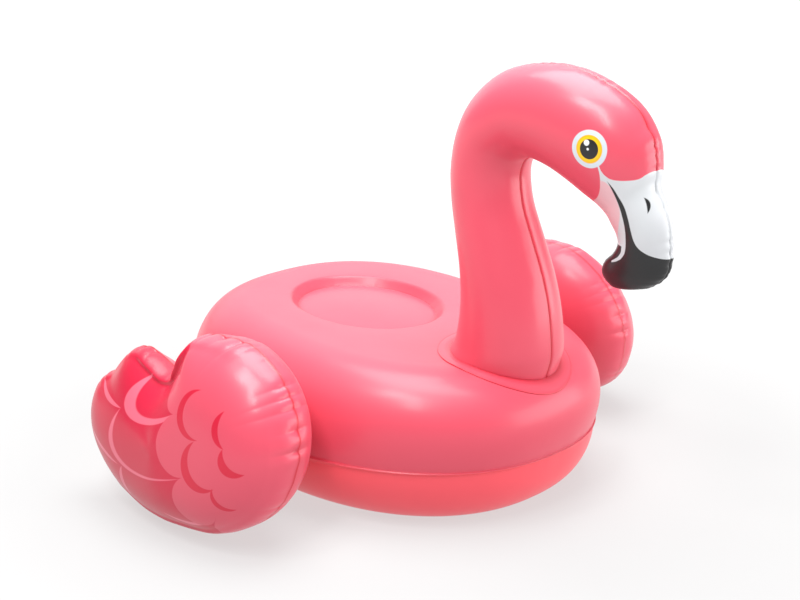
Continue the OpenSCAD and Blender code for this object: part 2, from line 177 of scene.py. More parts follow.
class NodeSheet:
    """A material's node tree, built by short calls."""

    def __init__(self, name: str) -> None:
        """Makes a material with an empty node tree.

        Args:
            name: The material's name.
        """
        self.material = bpy.data.materials.new(name)
        self.material.use_nodes = True
        self.tree = self.material.node_tree
        self.tree.nodes.clear()

    def add(
        self,
        kind: str,
        settings: Optional[Dict[str, object]] = None,
        inputs: Optional[Union[Sequence[object], Dict[str, object]]] = None,
        output: Union[int, str] = 0,
    ) -> Socket:
        """Adds one node.

        Args:
            kind: The node type.
            settings: Properties set before the inputs.
            inputs: Values or links, by place or by socket name.
            output: The output that is returned.

        Returns:
            The chosen output.
        """
        node = self.tree.nodes.new(kind)
        for key, value in (settings or {}).items():
            setattr(node, key, value)
        pairs = inputs.items() if isinstance(inputs, dict) else enumerate(inputs or [])
        for key, value in pairs:
            if value is None:
                continue
            if isinstance(value, Socket):
                self.tree.links.new(value.socket, node.inputs[key])
            else:
                node.inputs[key].default_value = value
        return Socket(self, node.outputs[output])

    def mix(self, share: Value, first: object, second: object) -> Socket:
        """Mixes two colours.

        Args:
            share: Share of the second colour.
            first: Colour or link.
            second: Colour or link.

        Returns:
            The mixed colour.
        """
        return self.add(
            "ShaderNodeMix",
            {"data_type": "RGBA", "blend_type": "MIX"},
            {0: share, 6: first, 7: second},
            output=2,
        )

    def tint(self, share: Value, first: object, second: object) -> Socket:
        """Multiplies a colour by another where share is 1."""
        return self.add(
            "ShaderNodeMix",
            {"data_type": "RGBA", "blend_type": "MULTIPLY"},
            {0: share, 6: first, 7: second},
            output=2,
        )

    def place(self) -> Tuple[Socket, Socket, Socket]:
        """Object coordinates in millimetres.

        Returns:
            x, y and z.
        """
        where = self.add("ShaderNodeTexCoord", output="Object")
        scaled = self.add(
            "ShaderNodeVectorMath",
            {"operation": "SCALE"},
            {"Vector": where, "Scale": 1.0 / MM},
        )
        split = self.tree.nodes.new("ShaderNodeSeparateXYZ")
        self.tree.links.new(scaled.socket, split.inputs[0])
        return tuple(Socket(self, split.outputs[i]) for i in range(3))

    def point(self, x: Value, y: Value, z: Value) -> Socket:
        """Joins three values into a vector."""
        return self.add("ShaderNodeCombineXYZ", None, [x, y, z])

    def distance(self, point: Socket, centre: Tuple[float, float, float]) -> Socket:
        """Distance from a point to a fixed centre."""
        return self.add(
            "ShaderNodeVectorMath",
            {"operation": "DISTANCE"},
            {0: point, 1: centre},
            output="Value",
        )

    def noise(self, scale: float, detail: float = 2.0, where: Optional[Socket] = None) -> Socket:
        """Noise on Object coordinates.

        Args:
            scale: Waves per metre.
            detail: Octaves.
            where: Coordinates, Object coordinates when left out.

        Returns:
            The noise value.
        """
        place = where or self.add("ShaderNodeTexCoord", output="Object")
        return self.add(
            "ShaderNodeTexNoise",
            None,
            {"Vector": place, "Scale": scale, "Detail": detail, "Roughness": 0.5},
            output=0,
        )

    def attribute(self, name: str) -> Socket:
        """A value stored on the mesh."""
        return self.add("ShaderNodeAttribute", {"attribute_name": name}, None, output="Fac")

    def curve(self, value: Value, points: Sequence[Point]) -> Socket:
        """A curve through given points, flat outside them.

        Args:
            value: The input, in the points' first unit.
            points: Rising inputs with their outputs.

        Returns:
            The curve's output.
        """
        low_in, high_in = points[0][0], points[-1][0]
        outs = [p[1] for p in points]
        low_out, high_out = min(outs), max(outs)
        span_in, span_out = high_in - low_in, max(high_out - low_out, 1e-6)
        node = self.tree.nodes.new("ShaderNodeFloatCurve")
        mapping = node.mapping
        mapping.extend = "HORIZONTAL"
        line = mapping.curves[0]
        scaled = [((a - low_in) / span_in, (b - low_out) / span_out) for a, b in points]
        while len(line.points) < len(scaled):
            line.points.new(0.5, 0.5)
        for knot, where in zip(line.points, scaled):
            knot.location = where
            knot.handle_type = "AUTO_CLAMPED"
        mapping.update()
        source = (value - low_in) * (1.0 / span_in)
        self.tree.links.new(source.socket, node.inputs["Value"])
        return Socket(self, node.outputs[0]) * span_out + low_out

    def film(
        self,
        colour: object,
        roughness: object,
        bump: Optional[Socket],
        constants: Dict[str, object],
    ) -> bpy.types.Material:
        """Ends the tree in one Principled shader.

        Args:
            colour: Base colour.
            roughness: Roughness.
            bump: Bump normal.
            constants: Values set on the shader's own sockets.

        Returns:
            The material.
        """
        inputs: Dict[str, object] = {"Base Color": colour, "Roughness": roughness}
        if bump is not None:
            inputs["Normal"] = bump
        inputs.update(constants)
        shader = self.add("ShaderNodeBsdfPrincipled", None, inputs)
        out = self.tree.nodes.new("ShaderNodeOutputMaterial")
        self.tree.links.new(shader.socket, out.inputs["Surface"])
        return self.material


# -------------------------------------------------------------------- finishes


def linear(red: int, green: int, blue: int) -> Tuple[float, float, float, float]:
    """Turns a screen colour into the linear colour a shader takes.

    Args:
        red: 0 to 255.
        green: 0 to 255.
        blue: 0 to 255.

    Returns:
        Linear red, green, blue and alpha.
    """
    out = []
    for level in (red, green, blue):
        c = level / 255.0
        out.append(c / 12.92 if c <= 0.04045 else ((c + 0.055) / 1.055) ** 2.4)
    return (out[0], out[1], out[2], 1.0)


@dataclass(frozen=True)
class Arc:
    """An arc of print through three points, in x and z millimetres."""

    start: Point
    middle: Point
    end: Point

    def circle(self) -> Tuple[float, float, float]:
        """The circle through the three points.

        Returns:
            Centre x, centre z and radius.
        """
        (ax, ay), (bx, by), (cx, cy) = self.start, self.middle, self.end
        d = 2.0 * (ax * (by - cy) + bx * (cy - ay) + cx * (ay - by))
        a2, b2, c2 = ax * ax + ay * ay, bx * bx + by * by, cx * cx + cy * cy
        x = (a2 * (by - cy) + b2 * (cy - ay) + c2 * (ay - by)) / d
        z = (a2 * (cx - bx) + b2 * (ax - cx) + c2 * (bx - ax)) / d
        return x, z, math.hypot(ax - x, ay - z)

    def inside(self, sheet: "NodeSheet", x: Socket, z: Socket, soft: float) -> Socket:
        """Mask of the disc whose rim is the arc.

        Args:
            sheet: The node sheet.
            x: Object x in millimetres.
            z: Object z in millimetres.
            soft: Half width of the soft edge.

        Returns:
            The mask.
        """
        cx, cz, radius = self.circle()
        flat = sheet.point(x, 0.0, z)
        return sheet.distance(flat, (cx, 0.0, cz)).below(radius, soft)


@dataclass(frozen=True)
class Oval:
    """An oval of print, in x and z millimetres; turn is in degrees from x."""

    centre: Point
    half_length: float
    half_width: float
    turn: float

    def inside(self, sheet: "NodeSheet", x: Socket, z: Socket, soft: float) -> Socket:
        """Mask of the oval.

        Args:
            sheet: The node sheet.
            x: Object x in millimetres.
            z: Object z in millimetres.
            soft: Half width of the soft edge.

        Returns:
            The mask.
        """
        cos, sin = math.cos(math.radians(self.turn)), math.sin(math.radians(self.turn))
        dx, dz = x - self.centre[0], z - self.centre[1]
        along = (dx * cos + dz * sin) / self.half_length
        across = (dz * cos - dx * sin) / self.half_width
        reach = sheet.distance(sheet.point(along, 0.0, across), (0.0, 0.0, 0.0))
        return reach.below(1.0, soft / self.half_width)


@dataclass(frozen=True)
class Crescent:
    """A printed stroke between two arcs that share their ends."""

    start: Point
    outer: Point
    inner: Point
    end: Point

    def rims(self) -> Tuple[Arc, Arc]:
        """The outer and the inner rim."""
        return Arc(self.start, self.outer, self.end), Arc(self.start, self.inner, self.end)


@dataclass(frozen=True)
class OvalCrescent:
    """A printed stroke inside one oval and outside another."""

    outer: Oval
    inner: Oval

    def rims(self) -> Tuple[Oval, Oval]:
        """The outer and the inner rim."""
        return self.outer, self.inner


def stroke_mask(
    sheet: "NodeSheet", strokes: Sequence[object], x: Socket, z: Socket, soft: float
) -> Socket:
    """Mask of a set of strokes.

    Args:
        sheet: The node sheet.
        strokes: Crescents.
        x: Object x in millimetres.
        z: Object z in millimetres.
        soft: Half width of the soft edge.

    Returns:
        The mask.
    """
    mask: Optional[Socket] = None
    for stroke in strokes:
        outer, inner = stroke.rims()
        lune = outer.inside(sheet, x, z, soft) * (1.0 - inner.inside(sheet, x, z, soft))
        mask = lune if mask is None else mask.larger(lune)
    return mask


@dataclass(frozen=True)
class FilmFinish:
    """Glossy soft vinyl film in one colour, with its seams a deeper tone and painted shade beside
    seams and in creases.
    """

    name: str
    colour: Tuple[float, float, float, float]
    # Deeper tone of the seam lines, also used for the painted shade beside seams and in creases.
    seam_and_shade_tone: Tuple[float, float, float, float] = (0.86, 0.30, 0.36, 1.0)
    gloss: float = 0.42
    coat: float = 0.45
    coat_roughness: float = 0.22
    ripple: float = 0.35
    sheen: float = 0.02

    def printed(self, sheet: NodeSheet) -> Tuple[object, object]:
        """The print on the film; plain film has one colour.

        Args:
            sheet: The node sheet, not used by plain film.

        Returns:
            The colour, and the tone that seams and the painted crease shade multiply it by.
        """
        return self.colour, self.seam_and_shade_tone

    def build(self) -> bpy.types.Material:
        """Builds the material.

        Returns:
            The material.
        """
        sheet = NodeSheet(self.name)
        base, tone = self.printed(sheet)
        cloud = sheet.noise(9.0, 3.0)
        base = sheet.tint((cloud - 0.5).larger(0.0) * 1.2, base, (0.94, 0.88, 0.90, 1.0))
        base = sheet.tint(sheet.attribute("seam"), base, tone)
        # Painted shade: the crease attribute darkens the film beside seams and in creases, where
        # shade falls.
        base = sheet.tint(sheet.attribute("crease") * 0.6, base, tone)
        fine = sheet.noise(900.0, 2.0)
        rough = self.gloss + (cloud - 0.5) * 0.08 + (fine - 0.5) * 0.05
        wave = sheet.noise(38.0, 2.0)
        height = wave * self.ripple + fine * 0.012
        bump = sheet.add(
            "ShaderNodeBump",
            None,
            {"Strength": 0.6, "Distance": 0.0008, "Height": height},
        )
        return sheet.film(
            base,
            rough,
            bump,
            {
                "IOR": 1.45,
                "Specular IOR Level": 0.38,
                "Coat Weight": self.coat,
                "Coat Roughness": self.coat_roughness,
                "Coat IOR": 1.5,
                "Sheen Weight": self.sheen,
                "Sheen Roughness": 0.4,
            },
        )


@dataclass(frozen=True)
class HeadPrint(FilmFinish):
    """Neck and head film: pink, with the printed eye and beak on both sides."""

    beak_white: Tuple[float, float, float, float] = linear(204, 206, 209)
    beak_pale: Tuple[float, float, float, float] = linear(222, 176, 182)
    ink: Tuple[float, float, float, float] = (0.006, 0.006, 0.007, 1.0)
    yellow: Tuple[float, float, float, float] = linear(246, 192, 0)
    eye_ring: Tuple[float, float, float, float] = linear(200, 210, 218)
    eye: Tuple[float, float, float] = (484.0, 80.7, 826.2)
    ring_radius: float = 37.0
    yellow_radius: float = 27.5
    pupil_radius: float = 19.4
    glint: Tuple[float, float, float] = (478.3, 81.2, 838.2)
    glint_radius: float = 5.8
    small_glint: Tuple[float, float, float] = (481.7, 81.1, 826.2)
    small_glint_radius: float = 2.6
    soft: float = 0.7
    brow: Tuple[Point, ...] = (
        (500, 800), (504, 797), (509, 786), (519, 776), (528, 772), (539, 771),
        (556, 772), (571, 775), (581, 784), (587, 789), (600, 792),
    )
    cheek: Tuple[Point, ...] = (
        (640, 440), (700, 450), (716, 468), (731, 490), (747, 500), (763, 504),
        (776, 505), (786, 504), (794, 502), (800, 500),
    )
    pale_edge: Tuple[Point, ...] = (
        (630, 508), (655, 524), (683, 535), (707, 540), (727, 536), (746, 531), (762, 519),
        (768, 507),
    )
    mouth_back: Tuple[Point, ...] = (
        (599, 512), (606, 529), (618, 543), (631, 549), (643, 550), (661, 550),
        (678, 549), (698, 545), (719, 539), (739, 532), (758, 524), (768, 519),
    )
    mouth_front: Tuple[Point, ...] = (
        (618, 660), (623, 629), (627, 610), (633, 593), (643, 578), (654, 570),
        (671, 564), (695, 558), (718, 550), (737, 540), (756, 529), (768, 519),
    )
    hook_back: Tuple[Point, ...] = (
        (602, 511), (608, 521), (617, 532), (630, 538), (640, 538),
    )
    black_top: float = 637.0
    nostril: Crescent = Crescent((580.0, 740.0), (592.0, 729.5), (587.0, 727.5), (592.0, 711.0))

    def printed(self, sheet: NodeSheet) -> Tuple[object, object]:
        """Draws the beak and the eye, with painted shade greying the lower beak.

        Args:
            sheet: The node sheet.

        Returns:
            The colour, and the tone that seams and the painted crease shade multiply it by.
        """
        x, y, z = sheet.place()
        soft = self.soft
        beak = x.above(sheet.curve(z, self.cheek), soft) * z.below(
            sheet.curve(x, self.brow), soft
        )
        pale = x.below(sheet.curve(z, self.pale_edge), 1.2) * z.below(767.0, 2.0)
        mouth = (
            x.above(sheet.curve(z, self.mouth_back), soft)
            * x.below(sheet.curve(z, self.mouth_front), soft)
            * z.below(768.0, 1.0)
        )
        low_left = x.below(sheet.curve(z, self.hook_back), soft) * z.below(self.black_top, 1.0)
        tip = z.below(599.0, 1.0)
        black = mouth.larger(low_left).larger(tip)
        hole = stroke_mask(sheet, (self.nostril,), x, z, 0.6)
        # Painted shade: the beak's white turns greyer towards the bottom, below about 700 mm.
        shade = z.above(700.0, 90.0)
        white = sheet.mix(shade, linear(196, 199, 202), self.beak_white)
        beak_colour = sheet.mix(pale, white, self.beak_pale)
        beak_colour = sheet.mix(black.larger(hole), beak_colour, self.ink)
        colour = sheet.mix(beak, self.colour, beak_colour)
        head = sheet.point(x, y.size(), z)
        away = sheet.distance(head, self.eye)
        iris = sheet.mix(away.above(24.5, 2.5), self.yellow, linear(236, 172, 2))
        colour = sheet.mix(away.below(self.ring_radius, soft), colour, self.eye_ring)
        colour = sheet.mix(away.below(self.yellow_radius, soft), colour, iris)
        colour = sheet.mix(away.below(self.pupil_radius, soft), colour, self.ink)
        glint = sheet.distance(head, self.glint).below(self.glint_radius, soft)
        spark = sheet.distance(head, self.small_glint).below(self.small_glint_radius, soft)
        colour = sheet.mix(glint.larger(spark), colour, (0.85, 0.87, 0.88, 1.0))
        # On the beak, the seam lines and the painted crease shade take a grey tone.
        return colour, sheet.mix(beak, self.seam_and_shade_tone, (0.72, 0.73, 0.75, 1.0))


@dataclass(frozen=True)
class FeatherPrint(FilmFinish):
    """Wing film: a pink shoulder over crimson flight feathers, with strokes."""

    crimson: Tuple[float, float, float, float] = (0.60, 0.004, 0.040, 1.0)
    stroke: Tuple[float, float, float, float] = (0.62, 0.003, 0.034, 1.0)
    pale: Tuple[float, float, float, float] = (0.80, 0.13, 0.20, 1.0)
    soft: float = 0.8
    border: Tuple[Point, ...] = (
        (0, 10), (58, 0), (88, 18), (160, -58), (282, -93), (350, -121), (430, -150),
    )
    scallops: Tuple[Arc, ...] = (
        Arc((-121, 350), (-144, 302), (-93, 282)),
        Arc((-93, 282), (-140, 214), (-58, 160)),
        Arc((-58, 160), (-83, 100), (18, 88)),
    )
    strokes: Tuple[Crescent, ...] = (
        Crescent((-43, 340), (-91, 276), (-72, 275), (-25, 245)),
        Crescent((-33, 241), (-62, 182), (-42, 187), (26, 156)),
        Crescent((23, 158), (20, 129), (29, 134), (66, 118)),
        Crescent((25, 313), (8, 269), (23, 270), (42, 242)),
        Crescent((40, 242), (34, 209), (49, 217), (88, 198)),
    )
    quills: Tuple[Union[Crescent, OvalCrescent], ...] = (
        OvalCrescent(Oval((-183, 288), 106, 51, 19), Oval((-87, 374), 197, 72, 36)),
        OvalCrescent(Oval((-105, 246), 229, 99, 22), Oval((67, 372), 422, 143, 30)),
        Crescent((-412, 266), (-347, 240), (-343, 250), (-290, 240)),
        Crescent((-420, 168), (-350, 128), (-346, 137), (-284, 120)),
        Crescent((-268, 121), (-285, 80), (-270, 84), (-260, 46)),
        Crescent((-137, 56), (-60, 49), (-56, 58), (14, 82)),
    )

    def printed(self, sheet: NodeSheet) -> Tuple[object, object]:
        """Draws the feathers.

        Args:
            sheet: The node sheet.

        Returns:
            The colour, and the tone that seams and the painted crease shade multiply it by.
        """
        x, _, z = sheet.place()
        shoulder = x.above(self.straight(sheet, z), self.soft)
        for arc in self.scallops:
            shoulder = shoulder.larger(arc.inside(sheet, x, z, self.soft))
        colour = sheet.mix(shoulder, self.crimson, self.colour)
        for strokes, ink, where in (
            (self.strokes, self.stroke, shoulder),
            (self.quills, self.pale, 1.0 - shoulder),
        ):
            mask = stroke_mask(sheet, strokes, x, z, self.soft)
            colour = sheet.mix(mask * where, colour, ink)
        return colour, self.seam_and_shade_tone

    def straight(self, sheet: NodeSheet, z: Socket) -> Socket:
        """The border's x at each height, straight between its points.

        Args:
            sheet: The node sheet, not used.
            z: Height.

        Returns:
            The border's x.
        """
        total: Value = float(self.border[0][1])
        for (z0, x0), (z1, x1) in zip(self.border, self.border[1:]):
            step = (z - float(z0)).larger(0.0).smaller(float(z1 - z0))
            total = step * ((x1 - x0) / (z1 - z0)) + total
        return total


@dataclass(frozen=True)
class MilkyVinyl:
    """Milky clear vinyl of the valves, with a fine moulded grain."""

    name: str = "milky_vinyl"
    colour: Tuple[float, float, float, float] = (0.66, 0.58, 0.58, 1.0)

    def build(self) -> bpy.types.Material:
        """Builds the material.

        Returns:
            The material.
        """
        sheet = NodeSheet(self.name)
        cloud = sheet.noise(160.0, 3.0)
        grain = sheet.noise(2600.0, 1.0)
        base = sheet.tint(cloud, self.colour, (0.95, 0.88, 0.88, 1.0))
        bump = sheet.add(
            "ShaderNodeBump", None, {"Strength": 0.35, "Distance": 0.0001, "Height": grain}
        )
        return sheet.film(
            base,
            0.22 + cloud * 0.12,
            bump,
            {
                "IOR": 1.5,
                "Coat Weight": 0.3,
                "Coat Roughness": 0.12,
                "Subsurface Weight": 0.25,
                "Subsurface Scale": 0.002,
            },
        )


# ------------------------------------------------------------- film panel mesh


def smooth_step(value: np.ndarray) -> np.ndarray:
    """A soft step from 0 to 1 over the range 0 to 1.

    Args:
        value: Any numbers.

    Returns:
        The step.
    """
    t = np.clip(value, 0.0, 1.0)
    return t * t * (3.0 - 2.0 * t)


def catmull(points: np.ndarray, steps: int, closed: bool) -> np.ndarray:
    """A smooth curve through points.

    Args:
        points: Rows of numbers.
        steps: Parts between two points.
        closed: Whether the curve joins its start.

    Returns:
        The rows of the finer curve.
    """
    count = len(points)
    pick = (lambda i: i % count) if closed else (lambda i: min(max(i, 0), count - 1))
    rows = []
    for i in range(count if closed else count - 1):
        a, b, c, d = (points[pick(i + k)] for k in (-1, 0, 1, 2))
        for s in (k / steps for k in range(steps)):
            rows.append(
                0.5 * (2 * b + (c - a) * s + (2 * a - 5 * b + 4 * c - d) * s * s
                       + (3 * b - a - 3 * c + d) * s ** 3)
            )
    if not closed:
        rows.append(points[-1])
    return np.array(rows)


def even_spacing(points: np.ndarray, count: int) -> np.ndarray:
    """Points at an even distance along a closed curve.

    Args:
        points: The curve's points, without the first repeated.
        count: Number of points wanted.

    Returns:
        The evenly spaced points.
    """
    loop = np.vstack([points, points[:1]])
    length = np.concatenate([[0.0], np.cumsum(np.linalg.norm(np.diff(loop, axis=0), axis=1))])
    wanted = np.linspace(0.0, length[-1], count, endpoint=False)
    return np.column_stack([np.interp(wanted, length, loop[:, k]) for k in range(loop.shape[1])])


def grid_normals(points: np.ndarray, wrap: bool) -> np.ndarray:
    """Unit normals of a grid of points.

    Args:
        points: Rows, columns and three coordinates.
        wrap: Whether the columns join round.

    Returns:
        One normal a point.
    """
    down = np.gradient(points, axis=0)
    if wrap:
        across = (np.roll(points, -1, axis=1) - np.roll(points, 1, axis=1)) * 0.5
    else:
        across = np.gradient(points, axis=1)
    normal = np.cross(down, across)
    size = np.linalg.norm(normal, axis=2, keepdims=True)
    return normal / np.maximum(size, 1e-9)


def gathers(around: np.ndarray, count: int, seed: float) -> np.ndarray:
    """Irregular gathers of film along a seam, 0 on the crests and 1 in the folds.

    Args:
        around: Share of the way along the seam, 0 to 1.
        count: Number of folds.
        seed: Offset that makes each seam its own.

    Returns:
        Depth of the fold.
    """
    turn = 2.0 * math.pi * around
    phase = (
        count * around
        + 0.42 * np.sin(3 * turn + seed)
        + 0.34 * np.sin(7 * turn + 2.1 * seed)
        + 0.24 * np.sin(13 * turn + 3.7 * seed)
    )
    fold = 1.0 - np.abs(np.sin(math.pi * phase)) ** 0.75
    depth = (0.62 + 0.30 * np.sin(5 * turn + 1.3 * seed) + 0.22 * np.sin(11 * turn + seed))
    return fold * np.clip(depth, 0.12, 1.2)


@dataclass
class Panel:
    """One film panel: a grid of points in millimetres and its film data."""

    name: str
    node: str
    points: np.ndarray
    wrap: bool
    pole: Optional[np.ndarray] = None
    seam: Optional[np.ndarray] = None
    # Painted shade beside seams and in creases, one value a point.
    crease: Optional[np.ndarray] = None
    closed_rows: bool = False
    centre: Tuple[float, float, float] = (0.0, 0.0, 0.0)
    thickness: float = 0.8
    offset: float = -1.0

    def faces(self) -> List[Tuple[int, ...]]:
        """Faces of the grid and of its pole.

        Returns:
            Corner numbers of each face.
        """
        rows, columns = self.points.shape[:2]
        last = rows if self.closed_rows else rows - 1
        across = columns if self.wrap else columns - 1
        out: List[Tuple[int, ...]] = []
        for i in range(last):
            j0, j1 = i * columns, ((i + 1) % rows) * columns
            for k in range(across):
                n = (k + 1) % columns
                out.append((j0 + k, j1 + k, j1 + n, j0 + n))
        if self.pole is not None:
            j0, tip = (rows - 1) * columns, rows * columns
            out.extend((j0 + k, tip, j0 + (k + 1) % columns) for k in range(columns))
        return out

    def build(self, side: Side, shift: float) -> bpy.types.Object:
        """Makes the closed shell.

        Args:
            side: The side of the bird; the right one is mirrored.
            shift: Distance in millimetres from body middle to float middle.

        Returns:
            The finished object.
        """
        rows, columns = self.points.shape[:2]
        flat = self.points.reshape(-1, 3)
        if self.pole is not None:
            flat = np.vstack([flat, self.pole[None, :]])
        flat = flat.copy()
        flat[:, 0] -= shift
        flat[:, 1] *= side.value
        faces = self.faces()
        if self.points_inwards(flat, faces, side, shift):
            faces = [face[::-1] for face in faces]
        mesh = bpy.data.meshes.new(self.name)
        mesh.from_pydata((flat * MM).tolist(), [], faces)
        # The seam lines and the painted crease shade are stored as point attributes for the
        # materials.
        for key, values in (("seam", self.seam), ("crease", self.crease)):
            layer = mesh.attributes.new(key, "FLOAT", "POINT")
            data = np.zeros(len(flat), dtype=np.float32)
            if values is not None:
                data[: rows * columns] = np.clip(values.reshape(-1), 0.0, 1.0)
            layer.data.foreach_set("value", data)
        mesh.update()
        piece = bpy.data.objects.new(self.name, mesh)
        bpy.context.scene.collection.objects.link(piece)
        for polygon in mesh.polygons:
            polygon.use_smooth = True
        if not self.closed_rows:
            solid = piece.modifiers.new("film", "SOLIDIFY")
            solid.thickness = self.thickness * MM
            solid.offset = self.offset
            solid.use_even_offset = False
            apply_modifiers(piece)
        return piece

    def points_inwards(
        self, flat: np.ndarray, faces: List[Tuple[int, ...]], side: Side, shift: float
    ) -> bool:
        """Tells whether the faces look at the panel's middle.

        Args:
            flat: The points.
            faces: The faces.
            side: The side of the bird.
            shift: Distance from body middle to float middle.

        Returns:
            True where the faces have to be turned over.
        """
        middle = np.array(
            [self.centre[0] - shift, self.centre[1] * side.value, self.centre[2]]
        )
        corners = np.array([face[:3] for face in faces[::7]])
        a, b, c = (flat[corners[:, k]] for k in range(3))
        normal = np.cross(b - a, c - a)
        if self.closed_rows:
            volume = np.sum(a * np.cross(b, c))
            return bool(volume < 0.0)
        return bool(np.sum(normal * (a - middle)) < 0.0)


def apply_modifiers(piece: bpy.types.Object) -> None:
    """Applies every modifier of an object.

    Args:
        piece: The object.
    """
    bpy.ops.object.select_all(action="DESELECT")
    bpy.context.view_layer.objects.active = piece
    piece.select_set(True)
    for modifier in list(piece.modifiers):
        bpy.ops.object.modifier_apply(modifier=modifier.name)
    piece.select_set(False)


def finish_piece(
    piece: bpy.types.Object,
    material: bpy.types.Material,
    node: str,
) -> None:
    """Dresses a film piece and ties it to the frame.

    Args:
        piece: The object.
        material: Its finish.
        node: The CAD node that it stands for.
    """
    piece.data.materials.clear()
    piece.data.materials.append(material)
    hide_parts(node)
    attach(piece, "float")
    LOG.info("%s: %d faces", piece.name, len(piece.data.polygons))


# ------------------------------------------------------------------------ body


